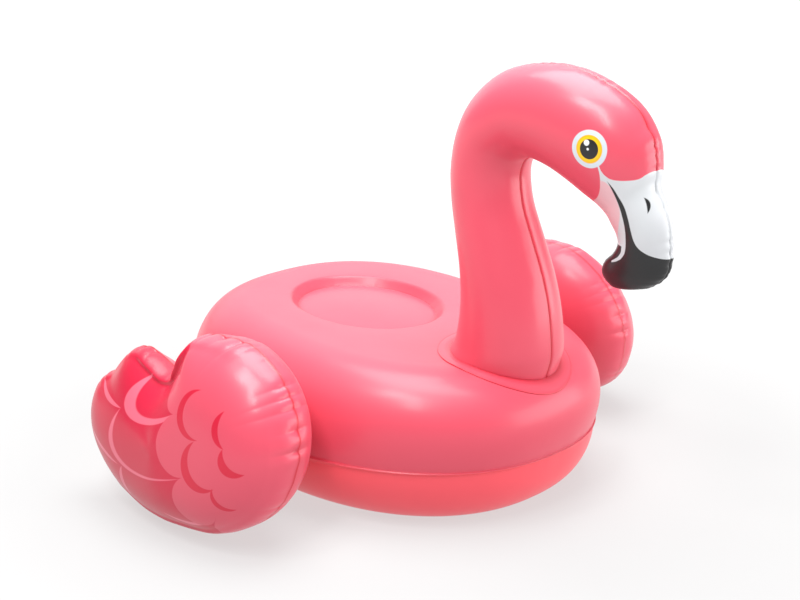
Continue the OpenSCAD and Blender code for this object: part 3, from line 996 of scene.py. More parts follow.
@dataclass
class Cushion:
    """The body cushion: two welded panels with an oval seat recess."""

    front: float = 518.0
    rear: float = 468.0
    half_width: float = 400.0
    front_squareness: float = 2.2
    rear_squareness: float = 2.3
    seam_height: float = 139.0
    top_rise: float = 210.0
    top_roll: float = 138.0
    bottom_roll: float = 118.0
    top_overhang: float = 12.0
    front_overhang: float = 26.0
    top_fall: float = 0.05
    seam_lip: float = 4.0
    film: float = 0.8
    seat_back: float = 59.0
    seat_half_length: float = 174.0
    seat_half_width: float = 147.0
    seat_depth: float = 20.0
    seat_dome: float = 12.0
    seam_gathers: int = 64
    seat_gathers: int = 30
    seat_wall: float = 22.0
    columns: int = 360

    def angles(self) -> np.ndarray:
        """Plan angles of the columns, in radians."""
        return np.linspace(0.0, 2.0 * math.pi, self.columns, endpoint=False)

    def plan_radius(self, t: np.ndarray) -> np.ndarray:
        """Radius of the seam in plan.

        Args:
            t: Plan angle.

        Returns:
            The radius.
        """
        ahead = np.cos(t) > 0
        reach = np.where(ahead, self.front, self.rear)
        power = np.where(ahead, self.front_squareness, self.rear_squareness)
        sides = np.abs(np.cos(t) / reach) ** power + np.abs(np.sin(t) / self.half_width) ** power
        return sides ** (-1.0 / power)

    def overhang(self, t: np.ndarray) -> np.ndarray:
        """Bulge of the top past the seam at a plan angle."""
        return self.top_overhang + self.front_overhang * np.maximum(0.0, np.cos(t)) ** 3

    def roll_in(self, f: np.ndarray, over: np.ndarray) -> np.ndarray:
        """Inward distance from the seam at a roll angle."""
        return self.top_roll * (1.0 - np.cos(f)) - over * np.sin(2.0 * f)

    def shelf_height(self, x: np.ndarray) -> np.ndarray:
        """Height of the top where it lies inside the crest."""
        return self.seam_height + self.top_rise - self.top_fall * x

    def top_height(self, x: np.ndarray, y: np.ndarray) -> np.ndarray:
        """Height of the top surface over plan points.

        Args:
            x: Distance ahead of the body middle.
            y: Distance to the left.

        Returns:
            The height.
        """
        t = np.arctan2(y, x)
        radius = self.plan_radius(t)
        inset = radius - np.hypot(x, y)
        over = self.overhang(t)
        low = np.full(np.shape(x), math.radians(20.0))
        high = np.full(np.shape(x), math.radians(90.0))
        for _ in range(30):
            middle = (low + high) / 2.0
            short = self.roll_in(middle, over) < inset
            low, high = np.where(short, middle, low), np.where(short, high, middle)
        crest_x = (radius - self.top_roll) * np.cos(t)
        rolled = self.seam_height + (self.top_rise - self.top_fall * crest_x) * np.sin(
            (low + high) / 2.0
        )
        return np.where(inset >= self.top_roll, self.shelf_height(x), rolled)

    def side_reach(self, x: np.ndarray, z: np.ndarray) -> np.ndarray:
        """Sideways reach of the body at a place and height.

        Args:
            x: Distance ahead of the body middle.
            z: Height.

        Returns:
            Half width there, 0 above the body.
        """
        power = np.where(x > 0, self.front_squareness, self.rear_squareness)
        reach = np.where(x > 0, self.front, self.rear)
        edge = self.half_width * np.maximum(0.0, 1.0 - np.abs(x / reach) ** power) ** (1 / power)
        rise = np.clip((z - self.seam_height) / (self.top_rise - self.top_fall * x), 0.0, 1.0)
        drop = np.clip((self.seam_height - z) / self.seam_height, 0.0, 1.0)
        above = edge - self.roll_in(np.arcsin(rise), np.array(self.top_overhang))
        below = edge - self.bottom_roll * (1.0 - np.cos(np.arcsin(drop)))
        out = np.where(z > self.seam_height, above, below)
        return np.where(z > self.shelf_height(x), 0.0, out)

    def top_panel(self) -> Panel:
        """The upper panel, from the seam lip over the crest into the seat.

        Returns:
            The panel.
        """
        t = self.angles()
        radius = self.plan_radius(t)
        over = self.overhang(t)
        around = t / (2.0 * math.pi)
        ruck = gathers(around, self.seam_gathers, 0.7)
        rows: List[np.ndarray] = []
        seam: List[np.ndarray] = []
        crease: List[np.ndarray] = []

        # dark is the row's seam line; fold is the painted shade of its crease.
        def ring(r: np.ndarray, z: np.ndarray, dark: float, fold: float) -> None:
            """Adds one row at a plan radius and height."""
            rows.append(np.column_stack([r * np.cos(t), r * np.sin(t), z + 0.0 * t]))
            seam.append(np.full(self.columns, dark))
            crease.append(np.full(self.columns, fold))

        height = self.seam_height
        lip = self.seam_lip - 0.6 * ruck
        ring(radius + lip, height + 0.0 * t, 0.0, 0.0)
        ring(radius + lip, height + 0.9 + 0.0 * t, 0.0, 0.0)
        ring(radius + 1.2, height + 1.3 + 0.0 * t, 0.7, 0.0)
        for f in np.radians(90.0) * np.linspace(0.03, 1.0, 48) ** 1.25:
            crest_x = (radius - self.top_roll) * np.cos(t)
            pull = 1.3 * ruck * np.exp(-f * self.top_rise / 20.0)
            r = radius - self.roll_in(f, over) - pull
            z = height + (self.top_rise - self.top_fall * crest_x) * np.sin(f)
            ring(r, z, 0.0, 0.0)
        crest = (radius - self.top_roll)[:, None] * np.column_stack([np.cos(t), np.sin(t)])
        seat = np.column_stack(
            [-self.seat_back + self.seat_half_length * np.cos(t), self.seat_half_width * np.sin(t)]
        )
        tuck = gathers(around, self.seat_gathers, 2.3)
        gap = np.linalg.norm(seat - crest, axis=1)
        for v in 1.0 - (1.0 - np.linspace(0.0, 1.0, 46)[1:]) ** 1.5:
            p = crest + (seat - crest) * v
            away = gap * (1.0 - v)
            wall = 1.0 - smooth_step(away / self.seat_wall)
            drop = 0.8 * wall + 0.2 * v ** 5
            z = self.shelf_height(p[:, 0]) - self.seat_depth * drop
            z = z - 1.3 * np.exp(-((away / 3.0) ** 2)) - 0.9 * tuck * np.exp(-away / 14.0)
            rows.append(np.column_stack([p, z]))
            seam.append(0.45 * np.exp(-((away / 1.8) ** 2)))
            # Painted shade: a band at the seat weld and a softer band along the seat's shoulder,
            # where shade falls.
            shoulder = 0.32 * np.exp(-(((away - 0.8 * self.seat_wall) / 6.0) ** 2))
            crease.append(0.45 * np.exp(-((away / 8.0) ** 2)) + shoulder)
        middle = np.array([-self.seat_back, 0.0])
        for q in np.linspace(1.0, 0.0, 30)[1:-1] ** 0.8:
            p = middle + (seat - middle) * q
            away = (1.0 - q) * 155.0
            z = self.shelf_height(p[:, 0]) - self.seat_depth + self.seat_dome * (1.0 - q * q)
            z = z - 1.3 * np.exp(-((away / 3.0) ** 2)) - 0.8 * tuck * np.exp(-away / 10.0)
            rows.append(np.column_stack([p, z]))
            seam.append(np.full(self.columns, 0.55 * math.exp(-((away / 1.8) ** 2))))
            # Painted shade on the seat's floor beside the weld.
            crease.append(np.full(self.columns, 0.3 * math.exp(-((away / 7.0) ** 2))))
        pole_z = self.shelf_height(np.array(-self.seat_back)) - self.seat_depth + self.seat_dome
        return Panel(
            "body_top_film",
            "body_top_panel",
            np.array(rows),
            True,
            np.array([-self.seat_back, 0.0, float(pole_z)]),
            np.array(seam),
            np.array(crease),
            centre=(0.0, 0.0, 100.0),
        )

    def bottom_panel(self) -> Panel:
        """The lower panel, from the seam lip down to the flat underside.

        Returns:
            The panel.
        """
        t = self.angles()
        radius = self.plan_radius(t)
        ruck = gathers(t / (2.0 * math.pi), self.seam_gathers, 0.7)
        rows: List[np.ndarray] = []
        seam: List[np.ndarray] = []
        height = self.seam_height

        def ring(r: np.ndarray, z: float, dark: float) -> None:
            """Adds one row at a plan radius and height."""
            rows.append(np.column_stack([r * np.cos(t), r * np.sin(t), z + 0.0 * t]))
            seam.append(np.full(self.columns, dark))

        lip = self.seam_lip - 0.6 * ruck
        ring(radius + lip, height, 0.0)
        ring(radius + lip, height - 0.9, 0.0)
        ring(radius + 1.0, height - 1.3, 0.7)
        for f in np.radians(90.0) * np.linspace(0.05, 1.0, 34) ** 1.2:
            pull = 1.2 * ruck * math.exp(-f * height / 18.0)
            ring(
                radius - self.bottom_roll * (1.0 - math.cos(f)) - pull,
                height * (1.0 - math.sin(f)),
                0.0,
            )
        inner = radius - self.bottom_roll
        for q in np.linspace(1.0, 0.0, 14)[1:-1]:
            ring(inner * q, 0.0, 0.0)
        return Panel(
            "body_bottom_film",
            "body_bottom_panel",
            np.array(rows),
            True,
            np.array([0.0, 0.0, 0.0]),
            np.array(seam),
            None,
            centre=(0.0, 0.0, 140.0),
        )

    def baffle(self) -> Panel:
        """The hidden wall that ties the seat weld to the underside.

        Returns:
            The panel.
        """
        t = np.linspace(0.0, 2.0 * math.pi, 180, endpoint=False)
        seat = np.column_stack(
            [-self.seat_back + self.seat_half_length * np.cos(t), self.seat_half_width * np.sin(t)]
        )
        middle = np.array([-self.seat_back, 0.0])
        low = self.film + 0.4
        rows = []
        for s in np.linspace(0.0, 1.0, 28):
            waist = 1.0 - 0.05 * math.sin(math.pi * s)
            p = middle + (seat - middle) * waist * (1.0 - 0.6 / self.seat_half_width)
            high = self.shelf_height(p[:, 0]) - self.seat_depth - low
            rows.append(np.column_stack([p, low + (high - low) * s]))
        return Panel(
            "seat_baffle_wall",
            "seat_baffle",
            np.array(rows),
            True,
            centre=(-self.seat_back, 0.0, 150.0),
            thickness=1.0,
        )


# ------------------------------------------------------------------------ neck


@dataclass
class Neck:
    """Neck, head and beak: two halves welded along the middle plane."""

    cushion: Cushion
    base_ahead: float = 370.0
    base_half_length: float = 118.0
    base_half_width: float = 118.0
    columns: int = 72
    steps: int = 10
    foot_passes: int = 16
    foot_rows: int = 40
    head_pucker: float = 5.5
    chin_pucker: float = 1.0
    tip_pucker_back: float = 4.2
    tip_pucker_front: float = 3.4
    groove_back: float = 2.2
    groove_front: float = 2.4
    groove_width: float = 3.2
    stations: Tuple[Tuple[float, ...], ...] = (
        (266, 360, 503, 350, 114), (276, 430, 496, 430, 106), (270, 510, 476, 512, 98),
        (254, 590, 442, 592, 92), (240, 665, 414, 660, 87), (238, 735, 404, 718, 86),
        (256, 815, 410, 748, 87), (298, 885, 424, 764, 90), (365, 938, 445, 769, 90),
        (445, 961, 472, 765, 91), (530, 964, 510, 754, 91), (613, 944, 552, 736, 89),
        (686, 907, 590, 716, 82), (732, 853, 620, 700, 69), (745, 795, 640, 684, 57),
        (744, 760, 653, 667, 51), (765, 722, 664, 648, 46), (779, 690, 666, 630, 43),
        (785, 650, 654, 610, 41), (787, 610, 633, 590, 38), (775, 580, 626, 565, 33),
        (745, 556, 646, 543, 23), (710, 546, 672, 540, 12), (694, 543.5, 688, 542.5, 3),
    )

    def spine(self) -> np.ndarray:
        """Smooth stations from the base to the beak's tip.

        Returns:
            Rows of back x, back z, front x, front z and half width.
        """
        return catmull(np.array(self.stations, dtype=float), self.steps, closed=False)

    def half(self) -> Panel:
        """One half of the neck.

        Returns:
            The panel on the left side.
        """
        u = np.linspace(0.0, 1.0, self.columns)
        a = math.pi * (u - 0.125 * np.sin(2.0 * math.pi * u))
        spine = self.spine()
        x = self.base_ahead - self.base_half_length * np.cos(a)
        y = self.base_half_width * np.sin(a)
        base = np.column_stack([x, y, self.cushion.top_height(x, y) + 0.6])
        rings = []
        for s in spine:
            mid = np.array([(s[0] + s[2]) / 2, 0.0, (s[1] + s[3]) / 2])
            arm = np.array([(s[2] - s[0]) / 2, 0.0, (s[3] - s[1]) / 2])
            ring = mid - arm * np.cos(a)[:, None]
            ring[:, 1] = s[4] * np.sin(a)
            rings.append(ring)
        tube = np.array(rings)
        foot = []
        for s in np.linspace(0.0, 1.0, 12)[:-1]:
            lean = s ** 0.8
            foot.append(base * (1 - lean) + tube[0] * lean)
        points = np.vstack([np.array(foot), tube])
        for _ in range(self.foot_passes):
            last = self.foot_rows
            before, here, after = points[: last - 1], points[1:last], points[2 : last + 1]
            points[1:last] = (before + 2.0 * here + after) / 4.0
        rows = len(points)
        back = points[:, 0]
        front = points[:, -1]
        along_back = np.concatenate([[0], np.cumsum(np.linalg.norm(np.diff(back, axis=0), axis=1))])
        along_front = np.concatenate(
            [[0], np.cumsum(np.linalg.norm(np.diff(front, axis=0), axis=1))]
        )
        step = np.linalg.norm(np.diff(points, axis=1), axis=2)
        arc = np.concatenate([np.zeros((rows, 1)), np.cumsum(step, axis=1)], axis=1)
        from_back = arc
        from_front = arc[:, -1:] - arc
        head = smooth_step((along_back - 560.0) / 200.0) * (
            1.0 - smooth_step((along_back - 1250.0) / 150.0)
        )
        chin = smooth_step((along_front - 40.0) / 80.0) * (
            1.0 - smooth_step((along_front - 500.0) / 150.0)
        )
        folds_back = gathers(along_back / along_back[-1], 46, 1.9)
        folds_front = gathers(along_front / along_front[-1], 26, 0.4)
        pull = (
            (0.25 + self.head_pucker * head * folds_back)[:, None]
            * np.exp(-from_back / 16.0)
            + (0.2 + self.chin_pucker * chin * folds_front)[:, None] * np.exp(-from_front / 14.0)
        )
        tip_back = smooth_step((along_back - along_back[-1] + 230.0) / 90.0)
        tip_front = smooth_step((along_front - along_front[-1] + 150.0) / 60.0)
        lumps_back = gathers(along_back / along_back[-1], 74, 3.1)
        lumps_front = gathers(along_front / along_front[-1], 48, 2.2)
        pull = pull + (
            (self.tip_pucker_back * tip_back * lumps_back)[:, None] * np.exp(-from_back / 13.0)
            + (self.tip_pucker_front * tip_front * lumps_front)[:, None]
            * np.exp(-from_front / 11.0)
        )
        taper = np.clip(arc[:, -1:] / 60.0, 0.0, 1.0)
        groove = self.groove_back * np.exp(
            -((from_back / self.groove_width) ** 2)
        ) + self.groove_front * np.exp(-((from_front / self.groove_width) ** 2))
        normal = grid_normals(points, wrap=False)
        outward = points - points.mean(axis=1, keepdims=True) * np.array([1.0, 0.0, 1.0])
        if np.sum(normal * outward) < 0:
            normal = -normal
        normal[:, 0, 1] = 0.0
        normal[:, -1, 1] = 0.0
        moved = points - normal * ((pull + groove) * taper)[..., None]
        moved[:, 0, 1] = 0.0
        moved[:, -1, 1] = 0.0
        near = np.minimum(from_back, from_front)
        seam = np.exp(-((near / 1.7) ** 2)) * taper
        # Painted shade beside the front and back seams, stronger on the head and faded on the beak.
        crease = 0.75 * np.exp(-((from_front / 7.0) ** 2)) + 0.6 * np.exp(
            -((from_back / 6.0) ** 2)
        ) * (1.0 + 0.5 * head[:, None])
        crease = crease * taper
        along_beak = np.clip((along_back - (along_back[-1] - 330.0)) / 30.0, 0.0, 1.0)[:, None]
        crease = crease * (1.0 - 0.75 * along_beak)
        seam = seam * (1.0 - 0.7 * along_beak)
        return Panel(
            "neck_film", "neck_panel", moved, False, None, seam, crease,
            centre=(400.0, 0.0, 650.0),
        )

    def flange(self) -> Panel:
        """The welded ring that joins the neck to the body's top.

        Returns:
            The panel, a closed flat ring laid on the body.
        """
        t = np.linspace(0.0, 2.0 * math.pi, 240, endpoint=False)
        lines = []
        for e, lift in (
            (-3.0, 0.3), (1.0, 0.3), (9.0, 0.3), (18.0, 0.3), (26.0, 0.2), (27.0, 0.4),
            (27.0, 1.7), (26.2, 2.2), (25.0, 1.5), (22.0, 1.9), (14.0, 2.6), (6.0, 2.3),
            (3.0, 1.4), (1.0, 1.6), (-3.0, 2.0),
        ):
            x = self.base_ahead + (self.base_half_length + e) * np.cos(t)
            y = (self.base_half_width + e) * np.sin(t)
            lines.append(np.column_stack([x, y, self.cushion.top_height(x, y) + lift]))
        points = np.array(lines)
        dark = np.zeros(points.shape[:2])
        fold = np.zeros(points.shape[:2])
        for row, share in ((5, 0.9), (6, 0.75), (12, 0.5), (13, 0.6)):
            dark[row] = share
        # Painted shade in the ring's creases; the dark rows above are its weld lines.
        for row, share in ((7, 0.6), (8, 0.5), (11, 0.4), (14, 0.8)):
            fold[row] = share
        return Panel(
            "neck_weld_ring", "neck_base_flange", points, True, None, dark, fold,
            closed_rows=True, centre=(self.base_ahead, 0.0, 300.0),
        )


# ----------------------------------------------------------------------- wings


@dataclass
class Wing:
    """A wing pillow: a printed outer panel and a plain inner panel."""

    cushion: Cushion
    out: float = 550.0
    lean: float = 0.178
    toe_in: float = 0.105
    ahead: float = 75.0
    height: float = 219.0
    half_length: float = 222.0
    half_height: float = 200.0
    outer_bulge: float = 112.0
    inner_bulge: float = 175.0
    tail_taper: float = 0.45
    taper_blend: float = 0.6
    taper_offset: float = 0.13
    outer_fullness: float = 3.4
    inner_fullness: float = 1.1
    outer_pucker: float = 10.0
    inner_pucker: float = 6.0
    gather_count: int = 36
    wave_in: float = 3.0
    wave_out: float = 2.2
    wave_reach: float = 12.0
    press_blend: float = 10.0
    weld_gap: float = 4.4
    ring_half_length: float = 80.0
    ring_half_height: float = 40.0
    ring_above_seam: float = 53.0
    full_distance: float = 150.0
    middle: Point = (0.0, 195.0)
    columns: int = 640
    tail: Tuple[Point, ...] = (
        (30, 414), (2, 398), (-13, 362), (-29, 326), (-55, 318), (-98, 333), (-139, 347),
        (-165, 348), (-190, 338), (-213, 315), (-239, 283), (-260, 272), (-285, 248),
        (-298, 212), (-295, 165), (-273, 120), (-232, 78), (-182, 47), (-130, 29),
        (-76, 17), (-16, 13), (30, 15),
    )

    def outline(self) -> np.ndarray:
        """Smooth closed outline of the seam in x and z.

        Returns:
            Evenly spaced points.
        """
        disc = [
            (self.ahead + self.half_length * math.cos(math.radians(a)),
             self.height + self.half_height * math.sin(math.radians(a)))
            for a in range(-78, 79, 13)
        ]
        points = np.array(disc + list(self.tail), dtype=float)
        return even_spacing(catmull(points, 12, closed=True), self.columns)

    def blurred(self, away: np.ndarray) -> np.ndarray:
        """The outline with its notches smoothed out.

        Args:
            away: Points of the outline from the wing's middle.

        Returns:
            The smoother outline's points.
        """
        waves = np.fft.fft(away, axis=0)
        number = np.abs(np.fft.fftfreq(self.columns)) * self.columns
        return np.real(np.fft.ifft(waves * np.exp(-((number / 3.2) ** 2))[:, None], axis=0))

    def seam_reach(self, x: np.ndarray, z: np.ndarray) -> np.ndarray:
        """Sideways place of the wing's seam plane."""
        return self.out - self.toe_in * (x - self.ahead) - self.lean * (z - self.height)

    def folds(self) -> Tuple[np.ndarray, np.ndarray]:
        """Gathers along the wing's seam.

        Returns:
            Fold depth and how strong the gathers are at each point.
        """
        outline = self.outline()
        around = np.arange(self.columns) / self.columns
        x, z = outline[:, 0], outline[:, 1]
        shoulder = smooth_step((x + 10.0) / 60.0) * smooth_step((z - 60.0) / 120.0)
        lobes = 0.45 * smooth_step((z - 150.0) / 120.0) * (1.0 - smooth_step((x + 40.0) / 30.0))
        return gathers(around, self.gather_count, 1.15), 0.22 + 0.78 * shoulder + lobes

    def fullness(self, x: np.ndarray, z: np.ndarray, edge: float) -> np.ndarray:
        """How far the outer film stands out, from its distance to the seam.

        Args:
            x: Distance ahead.
            z: Height.
            edge: Value that holds close to the seam.

        Returns:
            0 at the seam and 1 where the pillow is full.
        """
        seam = self.outline()
        length = np.sum(np.linalg.norm(np.roll(seam, -1, axis=0) - seam, axis=1))
        near = np.hypot(x[:, None] - seam[:, 0], z[:, None] - seam[:, 1]) + 0.3
        soft = (np.mean(near ** -5.0, axis=1) * length * 0.75) ** -0.25
        inner = 1.0 - np.clip(soft / self.full_distance, 0.0, 1.0)
        full = np.sqrt(1.0 - inner ** 2.4)
        return edge + (full - edge) * smooth_step((soft - 5.0) / 16.0)

    def rows(self, bulge: float, power: float, rolls: np.ndarray, pucker: float) -> np.ndarray:
        """Rows of a panel from the seam to its middle.

        Args:
            bulge: Bulge of the panel, negative towards the body.
            power: How full the panel is.
            rolls: Roll angles in radians.
            pucker: Depth of the gathers in millimetres.

        Returns:
            The grid of points.
        """
        edge_away = self.outline() - np.array(self.middle)
        soft_away = self.blurred(edge_away)
        reach = np.hypot(edge_away[:, 0], edge_away[:, 1])
        fold, strength = self.folds()
        wave = (fold - 0.35) * strength
        turn = 2.0 * math.pi * np.arange(self.columns) / self.columns
        length = 30.0 + 9.0 * np.sin(9 * turn + 0.5) + 7.0 * np.sin(17 * turn + 1.7)
        grid = []
        for f in rolls:
            k = max(0.0, math.cos(f)) ** (2.0 / power) + 6.0 * math.sin(2.0 * f) / reach
            arc = abs(bulge) * math.sin(f) + reach * (1.0 - np.minimum(k, 1.0))
            deep = pucker * fold * strength * np.exp(-arc / length) * (1.0 - np.exp(-arc / 5.0))
            near_seam = math.exp(-abs(bulge) * math.sin(f) / self.wave_reach)
            edge = self.wave_in * wave * near_seam
            k = k - edge / reach
            crisp = smooth_step((k - 0.25) / 0.65)[:, None]
            away = soft_away + (edge_away - soft_away) * crisp
            rearward = -away[:, 0] / np.hypot(away[:, 0], away[:, 1])
            rounded = np.sqrt(rearward * rearward + self.taper_blend)
            rearward = 0.5 * (rearward + rounded) - self.taper_offset
            taper = 1.0 - self.tail_taper * rearward * k
            x = self.middle[0] + k * away[:, 0]
            z = self.middle[1] + k * away[:, 1]
            full = self.fullness(x, z, math.sin(f))
            if bulge < 0:
                lobed = 1.0 - smooth_step((x - 20.0) / 60.0)
                full = math.sin(f) * (1.0 - lobed * (1.0 - full))
            y = self.seam_reach(x, z) + bulge * taper * full
            y = y + self.wave_out * wave * near_seam
            row = np.column_stack([x, y, z])
            grid.append((row, deep))
        points = np.array([g[0] for g in grid])
        depth = np.array([g[1] for g in grid])
        normal = grid_normals(points, wrap=True)
        if np.sum(normal[:, :, 1]) * bulge < 0:
            normal = -normal
        return points - normal * depth[..., None]

    def film_data(self, points: np.ndarray) -> Tuple[np.ndarray, np.ndarray]:
        """Darkening of the seam line, and the painted shade beside it.

        Args:
            points: The panel's grid.

        Returns:
            The seam and the painted crease shade values.
        """
        arc = np.concatenate(
            [np.zeros((1, points.shape[1])),
             np.cumsum(np.linalg.norm(np.diff(points, axis=0), axis=2), axis=0)]
        )
        return np.exp(-((arc / 2.0) ** 2)), 0.55 * np.exp(-((arc / 6.0) ** 2))

    def outer_panel(self) -> Panel:
        """The printed outer panel.

        Returns:
            The panel on the left side.
        """
        rolls = np.radians(89.0) * np.linspace(0.0, 1.0, 76) ** 1.35
        points = self.rows(self.outer_bulge, self.outer_fullness, rolls, self.outer_pucker)
        seam, crease = self.film_data(points)
        x, z = self.middle
        y = float(self.seam_reach(np.array(x), np.array(z))) + self.outer_bulge
        return Panel(
            "wing_outer_film", "wing_outer_panel", points, True, np.array([x, y, z]), seam, crease,
            centre=(x, 500.0, z),
        )

    def inner_panel(self) -> Panel:
        """The plain inner panel, pressed against the body's side.

        Returns:
            The panel on the left side.
        """
        rolls = np.radians(89.0) * np.linspace(0.0, 1.0, 64) ** 1.25
        points = self.rows(-self.inner_bulge, self.inner_fullness, rolls, self.inner_pucker)
        floor = self.cushion.side_reach(points[..., 0], points[..., 2]) + self.weld_gap
        soft = self.press_blend
        gap = points[..., 1] - floor
        points[..., 1] = floor + 0.5 * (gap + np.sqrt(gap * gap + soft * soft)) - soft * 0.12
        points[0] = self.outer_seam()
        seam, crease = self.film_data(points)
        x, z = self.middle
        y = float(self.cushion.side_reach(np.array(x), np.array(z))) + self.weld_gap
        return Panel(
            "wing_inner_film", "wing_inner_panel", points, True, np.array([x, y, z]), seam, crease,
            centre=(x, 560.0, z),
        )

    def outer_seam(self) -> np.ndarray:
        """The seam line that both panels share.

        Returns:
            The seam's points.
        """
        first_rolls = np.array([0.0, 0.02])
        return self.rows(self.outer_bulge, self.outer_fullness, first_rolls, 0.0)[0]

    def weld_ring(self) -> Panel:
        """The oval ring that ties the inner panel to the body.

        Returns:
            The panel on the left side.
        """
        t = np.linspace(0.0, 2.0 * math.pi, 96, endpoint=False)
        centre = self.cushion.seam_height + self.ring_above_seam
        lines = []
        for e, lift in (
            (0.0, 0.9), (0.4, 2.2), (1.6, 2.9), (6.0, 2.6), (11.0, 2.5), (16.0, 2.6),
            (20.4, 2.9), (21.6, 2.2), (22.0, 0.9), (16.0, 0.7), (11.0, 0.7), (6.0, 0.7),
        ):
            x = self.middle[0] + (self.ring_half_length - e) * np.cos(t)
            z = centre + (self.ring_half_height - e) * np.sin(t)
            lines.append(np.column_stack([x, self.cushion.side_reach(x, z) + lift, z]))
        return Panel(
            "wing_ring_weld", "wing_weld_ring", np.array(lines), True, None, None, None,
            closed_rows=True, centre=(0.0, 0.0, centre),
        )


# ---------------------------------------------------------------------- valves


@dataclass
class PlugStrap:
    """The soft strap that keeps a plug on its valve."""

    name: str
    origin: Vector
    axis_x: Vector
    axis_y: Vector
    axis_z: Vector
    start: float = 8.8
    turn: float = 17.8
    low: float = 2.6
    high: float = 4.8
    width: float = 4.0
    thickness: float = 0.8
    leg_parts: int = 6

    def place(self) -> Matrix:
        """The valve's own frame in metres.

        Returns:
            The matrix from millimetres in the valve to the float.
        """
        turn = Matrix((self.axis_x, self.axis_y, self.axis_z)).transposed().to_4x4()
        return Matrix.Translation(self.origin * MM) @ turn @ Matrix.Scale(MM, 4)

    def build(self, material: bpy.types.Material) -> bpy.types.Object:
        """Models the strap: one leg, a half turn and the leg back.

        Args:
            material: Its finish.

        Returns:
            The finished object.
        """
        bpy.ops.object.select_all(action="DESELECT")
        bpy.ops.mesh.primitive_plane_add(size=1.0)
        strap = bpy.context.active_object
        strap.name = self.name + "_strip"
        strap.data.name = strap.name
        for vertex, (y, z) in zip(
            strap.data.vertices, ((-0.5, -0.5), (0.5, -0.5), (-0.5, 0.5), (0.5, 0.5))
        ):
            vertex.co = (self.start, y * self.width, self.low + z * self.thickness)
        bpy.ops.object.mode_set(mode="EDIT")
        step = (self.turn - self.start) / self.leg_parts
        for _ in range(self.leg_parts):
            bpy.ops.mesh.extrude_region_move(TRANSFORM_OT_translate={"value": (step, 0.0, 0.0)})
        radius = (self.high - self.low) / 2.0
        bpy.ops.mesh.spin(
            steps=20, angle=-math.pi, center=(self.turn, 0.0, self.low + radius), axis=(0, 1, 0)
        )
        for _ in range(self.leg_parts):
            bpy.ops.mesh.extrude_region_move(TRANSFORM_OT_translate={"value": (-step, 0.0, 0.0)})
        bpy.ops.mesh.select_all(action="SELECT")
        bpy.ops.mesh.remove_doubles(threshold=0.001)
        bpy.ops.mesh.normals_make_consistent(inside=False)
        bpy.ops.object.mode_set(mode="OBJECT")
        bevel = strap.modifiers.new("edge", "BEVEL")
        bevel.width = 0.18
        bevel.segments = 2
        bevel.limit_method = "ANGLE"
        apply_modifiers(strap)
        strap.data.transform(self.place())
        bpy.context.view_layer.objects.active = strap
        strap.select_set(True)
        bpy.ops.object.shade_smooth_by_angle(angle=math.radians(40.0))
        strap.select_set(False)
        strap.data.materials.clear()
        strap.data.materials.append(material)
        return strap

@dataclass
class Valves:
    """The two inflation valves with their straps."""

    material: bpy.types.Material
    body_place: Tuple[float, float, float] = (-613.1, 0.0, 265.66)
    body_tilt: float = 21.385
    neck_place: Tuple[float, float, float] = (228.4, 106.0, 430.0)
    neck_lean: float = 6.0

    def build(self) -> None:
        """Dresses the valve pieces and adds the straps."""
        for name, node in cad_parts.items():
            if "_valve_" in name and not name.endswith("_strap"):
                node.data.materials.clear()
                node.data.materials.append(self.material)
        tilt, lean = math.radians(self.body_tilt), math.radians(self.neck_lean)
        body = PlugStrap(
            "body_valve",
            Vector(self.body_place),
            Vector((math.sin(tilt), 0.0, math.cos(tilt))),
            Vector((0.0, 1.0, 0.0)),
            Vector((-math.cos(tilt), 0.0, math.sin(tilt))),
        )
        neck = PlugStrap(
            "neck_valve",
            Vector(self.neck_place),
            Vector((1.0, 0.0, 0.0)),
            Vector((0.0, math.sin(lean), -math.cos(lean))),
            Vector((0.0, math.cos(lean), math.sin(lean))),
        )
        for strap in (body, neck):
            piece = strap.build(self.material)
            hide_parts(strap.name + "_strap")
            place = strap.place()
            low = strap.low + strap.thickness / 2.0
            high = strap.high - strap.thickness / 2.0
            tuple(place @ Vector((0.0, 0.0, low)))
            tuple(place @ Vector((0.0, 0.0, high)))
            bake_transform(piece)
            LOG.info("%s: strap", piece.name)


# ---------------------------------------------------------------------- studio


@dataclass
class Softbox:
    """A rectangular area light aimed at the float."""

    name: str
    azimuth: float
    elevation: float
    distance: float
    size: float
    power: float
    tall: float
    target: Tuple[float, float, float] = (0.0, 0.0, 0.3)

    def build(self) -> None:
        """Adds the light."""
        azimuth, elevation = math.radians(self.azimuth), math.radians(self.elevation)
        towards = Vector(
            (math.cos(elevation) * math.cos(azimuth),
             math.cos(elevation) * math.sin(azimuth),
             math.sin(elevation))
        )
        light = bpy.data.lights.new(self.name, "AREA")
        light.shape = "RECTANGLE"
        light.size = self.size
        light.size_y = self.tall
        light.energy = self.power
        lamp = bpy.data.objects.new(self.name, light)
        lamp.location = Vector(self.target) + towards * self.distance
        lamp.rotation_euler = (-towards).to_track_quat("-Z", "Y").to_euler()
        bpy.context.scene.collection.objects.link(lamp)


